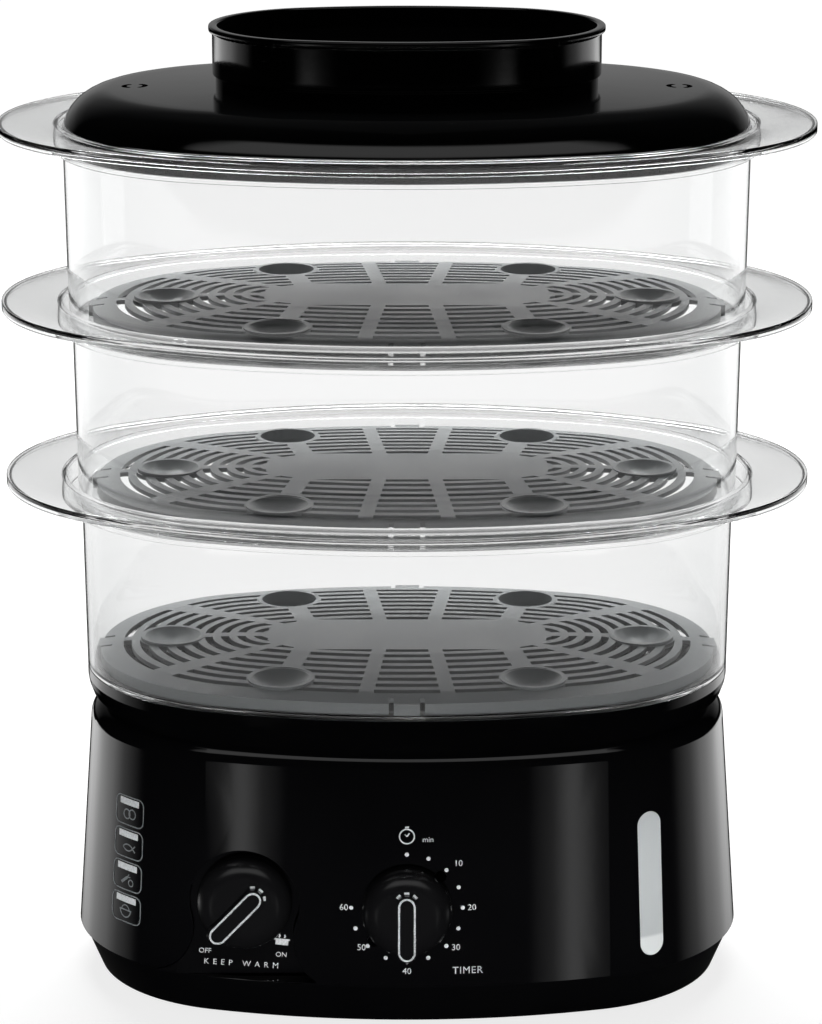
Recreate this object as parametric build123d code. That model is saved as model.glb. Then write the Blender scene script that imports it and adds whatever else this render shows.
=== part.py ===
from build123d import *
import math
import os

# Electric food steamer: base with tank and heater, juice tray, three clear bowls
# with lift-out grates, and a lid. Millimetres, +Z up, front towards -Y, and the
# origin on the table under the middle of the base.

# Plan shapes: half length along X and half width along Y. Every plan is an oval
# of four tangent arcs whose end radius is this share of its half width.
END_ROUND = 0.9

# Base
BASE_HALF = (153.8, 94.2)
BASE_SPLIT_Z = 22.0
BASE_TOP_Z = 130.5
BASE_DRAFT = 8.0
BASE_SHOULDER = 9.0
BASE_WALL = 2.5
SKIRT_FOOT_Z = 2.0
SKIRT_STEP = 1.3
SKIRT_DRAFT = 9.5
FLOOR_Z = 3.0
FLOOR_THICK = 2.5
LOCATING_LIP = 4.0
FIT_GAP = 0.2

# Feet and cover screws
FOOT_SPACING = (200.0, 88.0)
FOOT_RADIUS = 9.0
FOOT_STEM_RADIUS = 3.0
COLUMN_INSET = 16.0
COLUMN_ANGLE = 35.0
COLUMN_RADIUS = 4.5
COLUMN_TOP_Z = 60.0
RIB_THICK = 2.0
SCREW_RADIUS = 1.6
SCREW_HEAD_RADIUS = 3.0
SCREW_HEAD_HEIGHT = 2.0
SCREW_LENGTH = 12.0

# Water tank
TANK_INSET = 24.0
TANK_WALL = 2.0
TANK_FLOOR_Z = 28.0
TANK_LIP = 4.0
BAY_X = (-101.0, 30.0)
BAY_FRONT_Y = -36.0
BAY_TOP_Z = 96.0

# Heater under the tank floor
HEATER_AT = (0.0, 12.0)
HEATER_BOSS_RADIUS = 32.0
HEATER_FLANGE_RADIUS = 39.0
HEATER_RISE = 7.0
HEATER_FLANGE_THICK = 2.0
SEAL_THICK = 1.5
ELEMENT_RING_RADIUS = 24.0
ELEMENT_RADIUS = 3.2
ELEMENT_GAP_ANGLE = 50.0
TERMINAL_DROP = 6.0
CLAMP_THICK = 1.2
CLAMP_SCREW_CIRCLE = 43.5
CLAMP_SCREWS = 3
THERMOSTAT_RADIUS = 8.0
THERMOSTAT_HEIGHT = 9.0
TERMINAL_AT = (18.0, 56.0)

# Controls
TIMER_AT = (0.0, 58.5)
TIMER_KNOB_RADIUS = 20.1
TIMER_CASE = (42.0, 42.0, 24.0)
TIMER_SCREWS_AT = ((-15.0, -15.0), (15.0, 15.0))
BELL_RADIUS = 15.0
BELL_DEPTH = 7.0
BELL_SHEET = 0.8
KEEP_WARM_AT = (-73.0, 57.0)
KEEP_WARM_PLANE_Y = -76.0
KEEP_WARM_KNOB_RADIUS = 21.4
KEEP_WARM_POINTER_ANGLE = -44.0
SWITCH_CASE = (24.0, 26.0, 20.0)
KNOB_HEIGHT = 14.0
KNOB_SKIRT = 5.0
KNOB_CLEARANCE = 0.6
GRIP_WIDTH = 9.2
GRIP_TOP = 10.6
GRIP_RISE = 4.0
SHAFT_RADIUS = 3.0
SHAFT_RUNNING_GAP = 0.06
BUSH_RADIUS = 5.0
BEZEL_RADIUS = 24.5
BEZEL_WAIST_ANGLES = (-20.0, 195.0)
BEZEL_FOOT_X = (32.0, -42.0)
BEZEL_DEPTH = 16.0
BEZEL_THICK = 2.0
BEZEL_GAP = 0.3
BEZEL_PROUD = 1.2
COLLAR_THICK = 2.2

# Water level window, on the right of the front
WINDOW_X = 110.0
WINDOW_Z = (28.7, 96.1)
WINDOW_WIDTH = 12.2
WINDOW_GAP = 0.15
WINDOW_EDGE = 2.5
CHAMBER_DEPTH = 12.0
SPIGOT_RADIUS = 4.0
SPIGOT_Z = 38.0

# Cable gland at the back
GLAND_X = 0.0
GLAND_Z = 11.5
GLAND_RADIUS = 6.0
GLAND_BORE = 3.6
GLAND_INNER = 9.0
GLAND_OUTER = 7.0
GLAND_STAND = 0.3

# Tiers: three bowls of one height, each a little wider than the one below
BOWL_COUNT = 3
TIER_PITCH = 80.3
FIRST_RIM_Z = 238.0
WELL_DEPTH = 10.5
WELL_HALF = (155.0, 102.0)
RIM_HALF = (182.4, 122.0)
RIM_END_ROUND = 0.8
TOP_BOWL_HALF = (153.2, 100.2)
NEST_STEP = 2.4
BOWL_DRAFT = 1.0
BOWL_WALL = 2.0
RIM_THICK = 2.5
RIM_LIP = 4.0
RIM_ROUND = 1.0
LEDGE_THICK = 2.2

# Grates: heights are above the top of the edge band, offsets inwards from the outline
GRATE_HALF = (141.5, 90.0)
GRATE_SEAT = 5.0
GRATE_EDGE = 5.0
GRATE_CROWN = ((0.0, 0.0), (1.7, -12.0), (2.8, -33.0), (3.95, -60.0))
GRATE_SHEET = 2.0
SLOT_ROWS = 9
SLOT_START = 10.5
SLOT_PITCH = 7.5
SLOT_WIDTH = 3.8
PLATE_HALF_WIDTH = 23.0
PLATE_HALF_LENGTH = 46.0
PLATE_TIP = ((58.0, 16.0), (64.0, 9.0))
SPINE_WIDTH = 5.5
MIDDLE_SPOKE = ((12.0, 15.0), (19.5, 92.0), 6.5)
CORNER_SPOKE = ((46.0, 15.0), (53.0, 50.0), 9.0)
OUTER_SPOKE = ((56.3, 60.3), (58.0, 92.0), 12.0)
DIAGONAL_SPOKE = ((52.0, 8.0), (125.0, 52.7), (118.0, 64.4), (52.0, 12.5))
DISH_RADIUS = 12.8
DISH_RING = 2.0
DISH_DEPTH = 5.0
CUP_DISH_DEPTH = 7.0
CORNER_DISH_AT = (56.3, 60.3)
CORNER_DISH_RIM = 2.7
SIDE_DISH_X = 108.2
SIDE_DISH_RIM = 3.7
TAB_WIDTH = 11.5
TAB_REACH = 1.8
TAB_SLIT = 2.2

# Juice tray
TRAY_WALL = 2.2
TRAY_NECK = 6.0
TRAY_FLOOR_THICK = 2.2
TRAY_SKIRT = 5.0
TRAY_SKIRT_INSET = 1.0
CHIMNEY_HALF = (70.0, 38.0)

# Lid and its handle cup
LID_HALF = (154.3, 101.3)
LID_RISE = 24.5
LID_WALL = 2.2
LID_SHOULDER = 16.0
LID_DRAFT = 1.5
VENT_X = 121.0
VENT_Y = 14.0
VENT_LENGTH = 11.0
VENT_WIDTH = 3.6
CUP_RIM_Z = 441.0
CUP_HALF = (87.7, 58.0)
CUP_END_ROUND = 0.8
CUP_STEP_Z = 418.5
CUP_STEP = 2.0
CUP_DRAFT = 1.5
CUP_WALL = 2.2
CUP_LIP = 1.6


def oval(half, grow=0.0, end_round=END_ROUND):
    """Flat oval of four tangent arcs; grow moves the whole outline outwards."""
    half_x, half_y = half
    end = end_round * half_y
    flank = ((half_x - end) ** 2 + half_y**2 - end**2) / (2 * (half_y - end))
    joint_x = (half_x - end) * (flank + grow) / (flank - end)
    joint_y = (flank - half_y) * (end + grow) / (flank - end)
    tip_x, tip_y = half_x + grow, half_y + grow
    outline = (
        ThreePointArc((joint_x, -joint_y), (tip_x, 0), (joint_x, joint_y))
        + ThreePointArc((joint_x, joint_y), (0, tip_y), (-joint_x, joint_y))
        + ThreePointArc((-joint_x, joint_y), (-tip_x, 0), (-joint_x, -joint_y))
        + ThreePointArc((-joint_x, -joint_y), (0, -tip_y), (joint_x, -joint_y))
    )
    return make_face(outline)


def slab(half, low, high, grow=0.0, end_round=END_ROUND):
    """Upright oval block between two heights."""
    return extrude(Pos(0, 0, low) * oval(half, grow, end_round), high - low)


def tapered(half, levels, end_round=END_ROUND):
    """Oval block through (height, grow) levels, straight between them."""
    faces = [Pos(0, 0, z) * oval(half, grow, end_round) for z, grow in levels]
    return loft(faces, ruled=True)


def shrunk(half, step):
    return (half[0] - step, half[1] - step)


def disc(radius, low, high, at=(0.0, 0.0)):
    """Upright round block between two heights."""
    return Pos(at[0], at[1], low) * Cylinder(
        radius, high - low, align=(Align.CENTER, Align.CENTER, Align.MIN)
    )


def block(x_range, y_range, z_range):
    size = [high - low for low, high in (x_range, y_range, z_range)]
    corner = Pos(x_range[0], y_range[0], z_range[0])
    return corner * Box(*size, align=(Align.MIN, Align.MIN, Align.MIN))


def save(shape, name):
    """Write one node to its own file."""
    export_step(shape, "parts/" + name + ".step")


# ---------------------------------------------------------------- base surfaces

BASE_SLOPE = BASE_DRAFT / (BASE_TOP_Z - BASE_SPLIT_Z)
FRONT_TILT = math.degrees(math.atan(BASE_SLOPE))
BASE_END = END_ROUND * BASE_HALF[1]
BASE_END_X = BASE_HALF[0] - BASE_END
BASE_FLANK = (BASE_END_X**2 + BASE_HALF[1] ** 2 - BASE_END**2) / (2 * (BASE_HALF[1] - BASE_END))
BASE_JOINT_X = BASE_END_X * BASE_FLANK / (BASE_FLANK - BASE_END)


def base_block(grow, low=BASE_SPLIT_Z, high=BASE_TOP_Z):
    """Tapered oval inside of which the base housing's walls lie."""
    levels = [(z, grow - BASE_SLOPE * (z - BASE_SPLIT_Z)) for z in (low, high)]
    return tapered(BASE_HALF, levels)


def front_arc(x):
    """Centre (x, y) and radius, at the split height, of the arc that the front follows at x."""
    if abs(x) <= BASE_JOINT_X:
        return 0.0, BASE_FLANK - BASE_HALF[1], BASE_FLANK
    return math.copysign(BASE_END_X, x), 0.0, BASE_END


def front_y(x, z):
    """Y of the housing's front face above a place on its outline."""
    centre_x, centre_y, radius = front_arc(x)
    radius -= BASE_SLOPE * (z - BASE_SPLIT_Z)
    return centre_y - math.sqrt(radius**2 - (x - centre_x) ** 2)


def facing_out(x, z):
    """Plane on the housing's front wall: its Z points out, square to the drafted wall."""
    centre_x, centre_y, _ = front_arc(x)
    y = front_y(x, z)
    tilt = math.radians(FRONT_TILT)
    side = math.atan2(x - centre_x, centre_y - y)
    out = (math.sin(side) * math.cos(tilt), -math.cos(side) * math.cos(tilt), math.sin(tilt))
    return Plane(origin=(x, y, z), x_dir=(math.cos(side), math.sin(side), 0), z_dir=out)


TIMER_PLANE = facing_out(*TIMER_AT)
KEEP_WARM_PLANE = Plane(
    origin=(KEEP_WARM_AT[0], KEEP_WARM_PLANE_Y, KEEP_WARM_AT[1]),
    x_dir=TIMER_PLANE.x_dir,
    z_dir=TIMER_PLANE.z_dir,
)
WINDOW_PLANE = facing_out(WINDOW_X, sum(WINDOW_Z) / 2)


def window_prism(grow, out, inwards):
    """Upright round-ended bar through the wall at the level window."""
    length = WINDOW_Z[1] - WINDOW_Z[0] + 2 * grow
    face = SlotOverall(length, WINDOW_WIDTH + 2 * grow, rotation=90)
    return extrude(WINDOW_PLANE.offset(out) * face, -(out + inwards))


def bezel_outline(grow=0.0):
    """Round arch that flares into a wide foot, seen from the front."""
    ends = []
    for angle in BEZEL_WAIST_ANGLES:
        turn = math.radians(angle)
        ends.append((BEZEL_RADIUS * math.cos(turn), BEZEL_RADIUS * math.sin(turn)))
    foot_y = BASE_SPLIT_Z - KEEP_WARM_AT[1]
    right_foot, left_foot = [(x, foot_y) for x in BEZEL_FOOT_X]
    right_turn, left_turn = [math.radians(angle) for angle in BEZEL_WAIST_ANGLES]
    lines = ThreePointArc(ends[0], (0, BEZEL_RADIUS), ends[1])
    lines += TangentArc(ends[0], right_foot, tangent=(math.sin(right_turn), -math.cos(right_turn)))
    lines += TangentArc(ends[1], left_foot, tangent=(-math.sin(left_turn), math.cos(left_turn)))
    lines += Line(right_foot, left_foot)
    return offset(make_face(lines), grow, kind=Kind.ARC) if grow else make_face(lines)


def bezel_opening(grow):
    """The arch's outline as a long block through the front wall."""
    return extrude(KEEP_WARM_PLANE.offset(60) * bezel_outline(grow), -80)


def column_points():
    """Screw columns stand inside the four rounded corners of the base."""
    reach = BASE_END - COLUMN_INSET
    x = BASE_HALF[0] - BASE_END + reach * math.cos(math.radians(COLUMN_ANGLE))
    y = reach * math.sin(math.radians(COLUMN_ANGLE))
    return [(x, y), (-x, y), (-x, -y), (x, -y)]


# ---------------------------------------------------------------- base pieces


def base_housing():
    """Glossy outer casing: drafted wall, rounded shoulder and a deck that carries the tank."""
    shell = base_block(0.0)
    top_edges = shell.edges().filter_by_position(Axis.Z, BASE_TOP_Z - 0.01, BASE_TOP_Z + 0.01)
    shell = fillet(top_edges, BASE_SHOULDER)
    shell -= base_block(-BASE_WALL, BASE_SPLIT_Z, BASE_TOP_Z - BASE_WALL - TANK_WALL)
    lip = BASE_DRAFT + BASE_SHOULDER + 1.0 + TANK_LIP
    shell -= slab(BASE_HALF, BASE_TOP_Z - TANK_WALL, BASE_TOP_Z, TANK_LIP - lip + FIT_GAP)
    shell -= slab(BASE_HALF, BASE_SPLIT_Z, BASE_TOP_Z, -lip + FIT_GAP)
    shell += bezel_collar()
    shell -= bezel_opening(BEZEL_GAP)
    shell -= TIMER_PLANE * Cylinder(BUSH_RADIUS + FIT_GAP, 30)
    for x, y in TIMER_SCREWS_AT:
        shell -= TIMER_PLANE * Pos(x, y) * Cylinder(SCREW_RADIUS, 30)
    shell -= window_prism(WINDOW_GAP, 20, 20)
    column_z = FLOOR_Z + FLOOR_THICK
    for x, y in column_points():
        column = disc(COLUMN_RADIUS, column_z, COLUMN_TOP_Z, (x, y))
        angle = math.degrees(math.atan2(y, abs(x) - (BASE_HALF[0] - BASE_END)))
        turn = angle if x > 0 else 180 - angle
        rib = Box(
            COLUMN_INSET,
            RIB_THICK,
            COLUMN_TOP_Z - BASE_SPLIT_Z - LOCATING_LIP - 2,
            align=(Align.MIN, Align.CENTER, Align.MIN),
        )
        rib = Pos(x, y, BASE_SPLIT_Z + LOCATING_LIP + 2) * Rot(0, 0, turn) * rib
        shell += column + (rib & base_block(-BASE_WALL / 2))
        shell -= disc(SCREW_RADIUS, column_z, column_z + SCREW_LENGTH, (x, y))
    return shell


def bezel_collar():
    """Wall that turns inwards round the arch and makes the sides of its recess."""
    outline = bezel_outline(BEZEL_GAP + COLLAR_THICK)
    wall = extrude(KEEP_WARM_PLANE.offset(30) * outline, -30 - BEZEL_DEPTH)
    return wall & base_block(-BASE_WALL / 2, BASE_SPLIT_Z, BASE_TOP_Z - BASE_WALL - TANK_WALL)


def bottom_cover():
    """Matt lower pan: tapered skirt, floor, locating lip, foot and screw holes, and vents."""
    skirt = tapered(BASE_HALF, [(SKIRT_FOOT_Z, -SKIRT_DRAFT), (BASE_SPLIT_Z, -SKIRT_STEP)])
    inner = [(SKIRT_FOOT_Z, -SKIRT_DRAFT - BASE_WALL), (BASE_SPLIT_Z, -SKIRT_STEP - BASE_WALL)]
    floor_block = slab(BASE_HALF, FLOOR_Z, FLOOR_Z + FLOOR_THICK, -SKIRT_DRAFT)
    pan = skirt - tapered(BASE_HALF, inner) + (floor_block & skirt)
    lip_low, lip_high = BASE_SPLIT_Z - 2.0, BASE_SPLIT_Z + LOCATING_LIP
    lip = slab(BASE_HALF, lip_low, lip_high, -BASE_WALL - FIT_GAP - 0.4)
    lip -= slab(BASE_HALF, lip_low, lip_high, -BASE_WALL - FIT_GAP - 2.4)
    pan += lip - bezel_opening(2 * BEZEL_GAP + COLLAR_THICK)
    for x, y in column_points():
        pan -= disc(SCREW_RADIUS + 0.2, 0, FLOOR_Z + FLOOR_THICK, (x, y))
        pan -= disc(SCREW_HEAD_RADIUS + 0.3, 0, FLOOR_Z + 0.5, (x, y))
    for location in GridLocations(*FOOT_SPACING, 2, 2):
        pan -= location * disc(FOOT_STEM_RADIUS, 0, FLOOR_Z + FLOOR_THICK)
    for location in GridLocations(12, 0, 7, 1):
        pan -= Pos(0, 38, 0) * location * Pos(0, 0, FLOOR_Z + 1) * Box(4, 26, 6)
    return pan - gland_plane() * Cylinder(GLAND_RADIUS, 30)


def rubber_feet():
    """Four soft feet, each with a stem pushed through the floor."""
    feet = []
    for location in GridLocations(*FOOT_SPACING, 2, 2):
        pad = disc(FOOT_RADIUS, 0, FLOOR_Z)
        pad = chamfer(pad.edges().group_by(Axis.Z)[0], 1.0)
        stem = disc(FOOT_STEM_RADIUS, FLOOR_Z, FLOOR_Z + FLOOR_THICK)
        head = disc(FOOT_STEM_RADIUS + 1.0, FLOOR_Z + FLOOR_THICK, FLOOR_Z + FLOOR_THICK + 1.5)
        feet.append(location * (pad + stem + head))
    return Compound(children=feet)


def screw(length, head_radius=SCREW_HEAD_RADIUS):
    """Pan-head screw, head down at z = 0 and shank up, with a cross slot."""
    head = disc(head_radius, -SCREW_HEAD_HEIGHT, 0)
    head = fillet(head.edges().group_by(Axis.Z)[0], 0.8)
    shank = disc(SCREW_RADIUS - 0.05, 0, length)
    for turn in (0, 90):
        head -= Pos(0, 0, -SCREW_HEAD_HEIGHT) * Rot(0, 0, turn) * Box(3.2, 0.7, 1.6)
    return head + shank


def cover_screws():
    """Four screws that hold the pan to the housing's columns."""
    seat = Pos(0, 0, FLOOR_Z + 0.5)
    return Compound(
        children=[Pos(x, y, 0) * seat * screw(SCREW_LENGTH) for x, y in column_points()]
    )


def tank_plan(low, high, inset):
    return slab(BASE_HALF, low, high, -TANK_INSET - inset)


def bay(grow):
    """Room left in front of the tank for the timer and the switch."""
    return block(
        (BAY_X[0] - grow, BAY_X[1] + grow),
        (-BASE_HALF[1], BAY_FRONT_Y + grow),
        (0, BAY_TOP_Z + grow),
    )


def water_tank():
    """Open basin with a raised shelf over the controls, hung from the deck by its lip."""
    lip_outer = BASE_DRAFT + BASE_SHOULDER + 1.0
    tank = tank_plan(TANK_FLOOR_Z, BASE_TOP_Z, 0) - bay(0)
    lip = slab(BASE_HALF, BASE_TOP_Z - TANK_WALL, BASE_TOP_Z, -lip_outer)
    tank += lip
    tank -= tank_plan(TANK_FLOOR_Z + TANK_WALL, BASE_TOP_Z, TANK_WALL) - bay(TANK_WALL)
    tank -= disc(HEATER_BOSS_RADIUS + 1.0, 0, TANK_FLOOR_Z + TANK_WALL, HEATER_AT)
    for x, y in clamp_screw_points():
        boss = disc(3.0, TANK_FLOOR_Z + TANK_WALL, TANK_FLOOR_Z + TANK_WALL + 5, (x, y))
        tank += boss
        tank -= disc(SCREW_RADIUS, TANK_FLOOR_Z, TANK_FLOOR_Z + TANK_WALL + 3.5, (x, y))
    start, end = spigot_ends()
    tank -= tube(start, end, SPIGOT_RADIUS)
    return tank


def clamp_screw_points():
    points = PolarLocations(CLAMP_SCREW_CIRCLE, CLAMP_SCREWS, start_angle=90)
    return [(p.position.X + HEATER_AT[0], p.position.Y + HEATER_AT[1]) for p in points]


def heater_dish():
    """Stainless dish: a flange under the tank floor and a boss that stands in the water."""
    flange_top = TANK_FLOOR_Z - SEAL_THICK
    dish = disc(HEATER_FLANGE_RADIUS, flange_top - HEATER_FLANGE_THICK, flange_top, HEATER_AT)
    boss = disc(HEATER_BOSS_RADIUS, flange_top, TANK_FLOOR_Z + HEATER_RISE, HEATER_AT)
    boss = fillet(boss.edges().group_by(Axis.Z)[-1], 4.0)
    return dish + boss


def heater_seal():
    ring = disc(HEATER_FLANGE_RADIUS, TANK_FLOOR_Z - SEAL_THICK, TANK_FLOOR_Z, HEATER_AT)
    return ring - disc(HEATER_BOSS_RADIUS + FIT_GAP, 0, TANK_FLOOR_Z, HEATER_AT)


def element_top_z():
    return TANK_FLOOR_Z - SEAL_THICK - HEATER_FLANGE_THICK


def heating_element():
    """Tubular element bent to an open ring under the dish, with two cold ends."""
    z = element_top_z() - ELEMENT_RADIUS
    half_gap = ELEMENT_GAP_ANGLE / 2
    arc = CenterArc((0, 0, 0), ELEMENT_RING_RADIUS, half_gap, 360 - ELEMENT_GAP_ANGLE)
    section = Plane(origin=arc @ 0, z_dir=arc % 0) * Circle(ELEMENT_RADIUS)
    ring = sweep(section, path=arc)
    for angle in (half_gap, -half_gap):
        x = ELEMENT_RING_RADIUS * math.cos(math.radians(angle))
        y = ELEMENT_RING_RADIUS * math.sin(math.radians(angle))
        ring += Pos(x, y, 0) * Sphere(ELEMENT_RADIUS)
        ring += disc(1.6, -ELEMENT_RADIUS - TERMINAL_DROP, 0, (x, y))
    return Pos(*HEATER_AT, z) * ring


def clamp_ring():
    """Pressed steel ring with three ears that pulls the dish up against its seal."""
    top = element_top_z()
    ring = disc(HEATER_FLANGE_RADIUS + 1.5, top - CLAMP_THICK, top, HEATER_AT)
    for x, y in clamp_screw_points():
        ring += disc(5.0, top - CLAMP_THICK, top, (x, y))
    return ring - disc(HEATER_BOSS_RADIUS + 1.0, 0, top, HEATER_AT) - clamp_screw_holes()


def clamp_screw_holes():
    holes = [disc(SCREW_RADIUS + 0.2, 0, TANK_FLOOR_Z, p) for p in clamp_screw_points()]
    return holes[0] + holes[1] + holes[2]


def clamp_screws():
    head_z = element_top_z() - CLAMP_THICK
    length = TANK_FLOOR_Z + TANK_WALL + 2.5 - head_z
    return Compound(children=[Pos(x, y, head_z) * screw(length) for x, y in clamp_screw_points()])


def thermostat():
    """Bimetal cut-out pressed to the middle of the dish, with two blades."""
    top = element_top_z()
    cap = disc(THERMOSTAT_RADIUS, top - THERMOSTAT_HEIGHT, top, HEATER_AT)
    for side in (-1, 1):
        x = HEATER_AT[0] + side * (THERMOSTAT_RADIUS + 2)
        cap += block((x - 3, x + 3), (HEATER_AT[1] - 3, HEATER_AT[1] + 3), (top - 7.5, top - 6.7))
    return cap


def thermal_fuse():
    """Small axial fuse in a sleeve beside the thermostat."""
    z = element_top_z() - 2.5
    body = Pos(HEATER_AT[0], HEATER_AT[1] + 14, z) * Rot(0, 90, 0) * Cylinder(2.5, 12)
    lead = Pos(HEATER_AT[0], HEATER_AT[1] + 14, z) * Rot(0, 90, 0) * Cylinder(0.8, 20)
    return body + lead


def terminal_block():
    """Three-way screw terminal on the floor near the gland."""
    z = FLOOR_Z + FLOOR_THICK
    corner_x, corner_y = TERMINAL_AT
    body = block((corner_x, corner_x + 32), (corner_y, corner_y + 14), (z, z + 11))
    for step in range(3):
        x, y = corner_x + 6 + 10 * step, corner_y + 7
        body -= disc(2.2, z + 5, z + 11, (x, y))
        body -= Pos(x, y, z + 4) * Rot(90, 0, 0) * Cylinder(1.6, 20)
    return body


def gland_plane():
    """Plane on the skirt's sloping back face, its Z pointing out of the base."""
    slope = (SKIRT_DRAFT - SKIRT_STEP) / (BASE_SPLIT_Z - SKIRT_FOOT_Z)
    tilt = math.atan(slope)
    back_y = BASE_HALF[1] - SKIRT_STEP - slope * (BASE_SPLIT_Z - GLAND_Z)
    return Plane(
        origin=(GLAND_X, back_y, GLAND_Z), x_dir=(1, 0, 0), z_dir=(0, math.cos(tilt), -math.sin(tilt))
    )


def cable_gland():
    """Round cord bushing in the back of the pan; the cord itself is not part of the model."""
    bottom = (Align.CENTER, Align.CENTER, Align.MIN)
    neck = Pos(0, 0, -GLAND_INNER) * Cylinder(GLAND_RADIUS, GLAND_INNER + 1.0, align=bottom)
    catch = Pos(0, 0, -BASE_WALL - 2.5) * Cylinder(GLAND_RADIUS + 1.0, 2.0, align=bottom)
    tip = Cone(GLAND_RADIUS + 2.5, GLAND_RADIUS, GLAND_OUTER, align=bottom)
    gland = neck + catch + Pos(0, 0, GLAND_STAND) * tip
    return gland_plane() * (gland - Cylinder(GLAND_BORE, 60))


def tube(start, end, radius):
    """Straight round bar between two points."""
    start, end = Vector(*start), Vector(*end)
    plane = Plane(origin=start, z_dir=end - start)
    return extrude(plane * Circle(radius), (end - start).length)


# ---------------------------------------------------------------- level window


def spigot_ends():
    """From inside the level chamber to inside the tank, square to the window."""
    middle = WINDOW_PLANE.offset(-CHAMBER_DEPTH + 3.0).origin
    direction = WINDOW_PLANE.z_dir
    start = Vector(middle.X, middle.Y, SPIGOT_Z)
    flat = Vector(direction.X, direction.Y, 0).normalized()
    return tuple(start), tuple(start - flat * 30)


def level_window():
    """Clear moulding: lens flush with the housing, edge behind the wall, and level chamber."""
    lens = window_prism(0.0, 10, 20) & (base_block(0.0) - base_block(-BASE_WALL - FIT_GAP))
    edge = window_prism(WINDOW_EDGE, 10, 30)
    edge &= base_block(-BASE_WALL - FIT_GAP) - base_block(-BASE_WALL - FIT_GAP - 1.5)
    chamber = window_prism(0.0, -BASE_WALL, CHAMBER_DEPTH)
    hollow = window_prism(-2.0, -BASE_WALL - 2.0, CHAMBER_DEPTH - 2.0)
    start, end = spigot_ends()
    socket = tube(start, end, SPIGOT_RADIUS)
    return lens + edge + (chamber & base_block(-BASE_WALL)) - hollow - socket


def level_spigot():
    """Rubber elbow that joins the level chamber to the tank."""
    start, end = spigot_ends()
    outer = tube(start, end, SPIGOT_RADIUS)
    return outer - tube(start, end, SPIGOT_RADIUS - 1.5)


# ---------------------------------------------------------------- controls


def knob(radius, pointer_angle):
    """Round domed knob with a raised finger bar that points at the dial, in local axes."""
    base = Pos(0, 0, KNOB_CLEARANCE) * Cylinder(
        radius, KNOB_HEIGHT - KNOB_CLEARANCE, align=(Align.CENTER, Align.CENTER, Align.MIN)
    )
    base = fillet(base.edges().group_by(Axis.Z)[-1], KNOB_HEIGHT - KNOB_CLEARANCE - KNOB_SKIRT)
    length = GRIP_TOP + radius
    bar = Pos(0, (GRIP_TOP - radius) / 2) * RectangleRounded(GRIP_WIDTH, length, GRIP_WIDTH * 0.45)
    grip = extrude(Pos(0, 0, KNOB_SKIRT) * bar, KNOB_HEIGHT + GRIP_RISE - KNOB_SKIRT)
    grip &= Cylinder(radius, 100)
    grip = fillet(grip.edges().group_by(Axis.Z)[-1], 1.2)
    body = base + grip
    hollow = Pos(0, 0, KNOB_CLEARANCE) * Cylinder(
        radius - 2.0, KNOB_SKIRT, align=(Align.CENTER, Align.CENTER, Align.MIN)
    )
    hub = Cylinder(BUSH_RADIUS + 1.5, KNOB_SKIRT + 2, align=(Align.CENTER, Align.CENTER, Align.MIN))
    hub = Pos(0, 0, KNOB_CLEARANCE) * hub
    body = body - hollow + hub
    body -= Cylinder(SHAFT_RADIUS, 11.0, align=(Align.CENTER, Align.CENTER, Align.MIN))
    return Rot(0, 0, pointer_angle) * body


def shaft(inner_end, outer_end=11.0):
    """Turning spindle with a collar inside its case."""
    spindle = Pos(0, 0, -inner_end) * Cylinder(
        SHAFT_RADIUS, inner_end + outer_end, align=(Align.CENTER, Align.CENTER, Align.MIN)
    )
    collar = Pos(0, 0, -inner_end) * Cylinder(
        SHAFT_RADIUS + 2.5, 3.0, align=(Align.CENTER, Align.CENTER, Align.MIN)
    )
    return spindle + collar


def control_case(size, wall_gap, shaft_depth):
    """Switch box behind the wall with a bush round the spindle."""
    width, height, depth = size
    case = Pos(0, 0, -wall_gap) * Box(
        width, height, depth, align=(Align.CENTER, Align.CENTER, Align.MAX)
    )
    case = fillet(case.edges().filter_by(Axis.Z), 3.0)
    bush = Pos(0, 0, -wall_gap) * Cylinder(
        BUSH_RADIUS, wall_gap + 0.2, align=(Align.CENTER, Align.CENTER, Align.MIN)
    )
    bore = Cylinder(SHAFT_RADIUS + SHAFT_RUNNING_GAP, 2 * shaft_depth)
    pocket = Pos(0, 0, -shaft_depth - 0.3) * Cylinder(
        SHAFT_RADIUS + 2.8, 3.8, align=(Align.CENTER, Align.CENTER, Align.MIN)
    )
    return case + bush - bore - pocket


TIMER_WALL_GAP = BASE_WALL + 1.4
TIMER_SHAFT_DEPTH = 14.0
SWITCH_WALL_GAP = BEZEL_THICK + 0.2
SWITCH_SHAFT_DEPTH = 12.0


def timer_case():
    """Clockwork timer: square case with two ears for its screws."""
    case = control_case(TIMER_CASE, TIMER_WALL_GAP, TIMER_SHAFT_DEPTH)
    for x, y in TIMER_SCREWS_AT:
        case -= Pos(x, y, -TIMER_WALL_GAP) * Cylinder(SCREW_RADIUS, 16)
    for x in (-12, 0, 12):
        blade = Box(5, 0.8, 9, align=(Align.CENTER, Align.CENTER, Align.MAX))
        case += Pos(x, 12, -TIMER_WALL_GAP - TIMER_CASE[2]) * blade
    return TIMER_PLANE * case


def timer_bell():
    """Pressed steel gong on the back of the timer."""
    hang = (Align.CENTER, Align.CENTER, Align.MAX)
    back = -TIMER_WALL_GAP - TIMER_CASE[2]
    cup = Cylinder(BELL_RADIUS, BELL_DEPTH, align=hang)
    cup = fillet(cup.edges().group_by(Axis.Z)[0], 2.0)
    inside = Cylinder(BELL_RADIUS - BELL_SHEET, BELL_DEPTH - BELL_SHEET, align=hang)
    post = Cylinder(2.0, BELL_DEPTH + 1.0, align=hang)
    return TIMER_PLANE * Pos(0, -5, back) * (Pos(0, 0, -1.0) * (cup - inside) + post)


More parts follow.
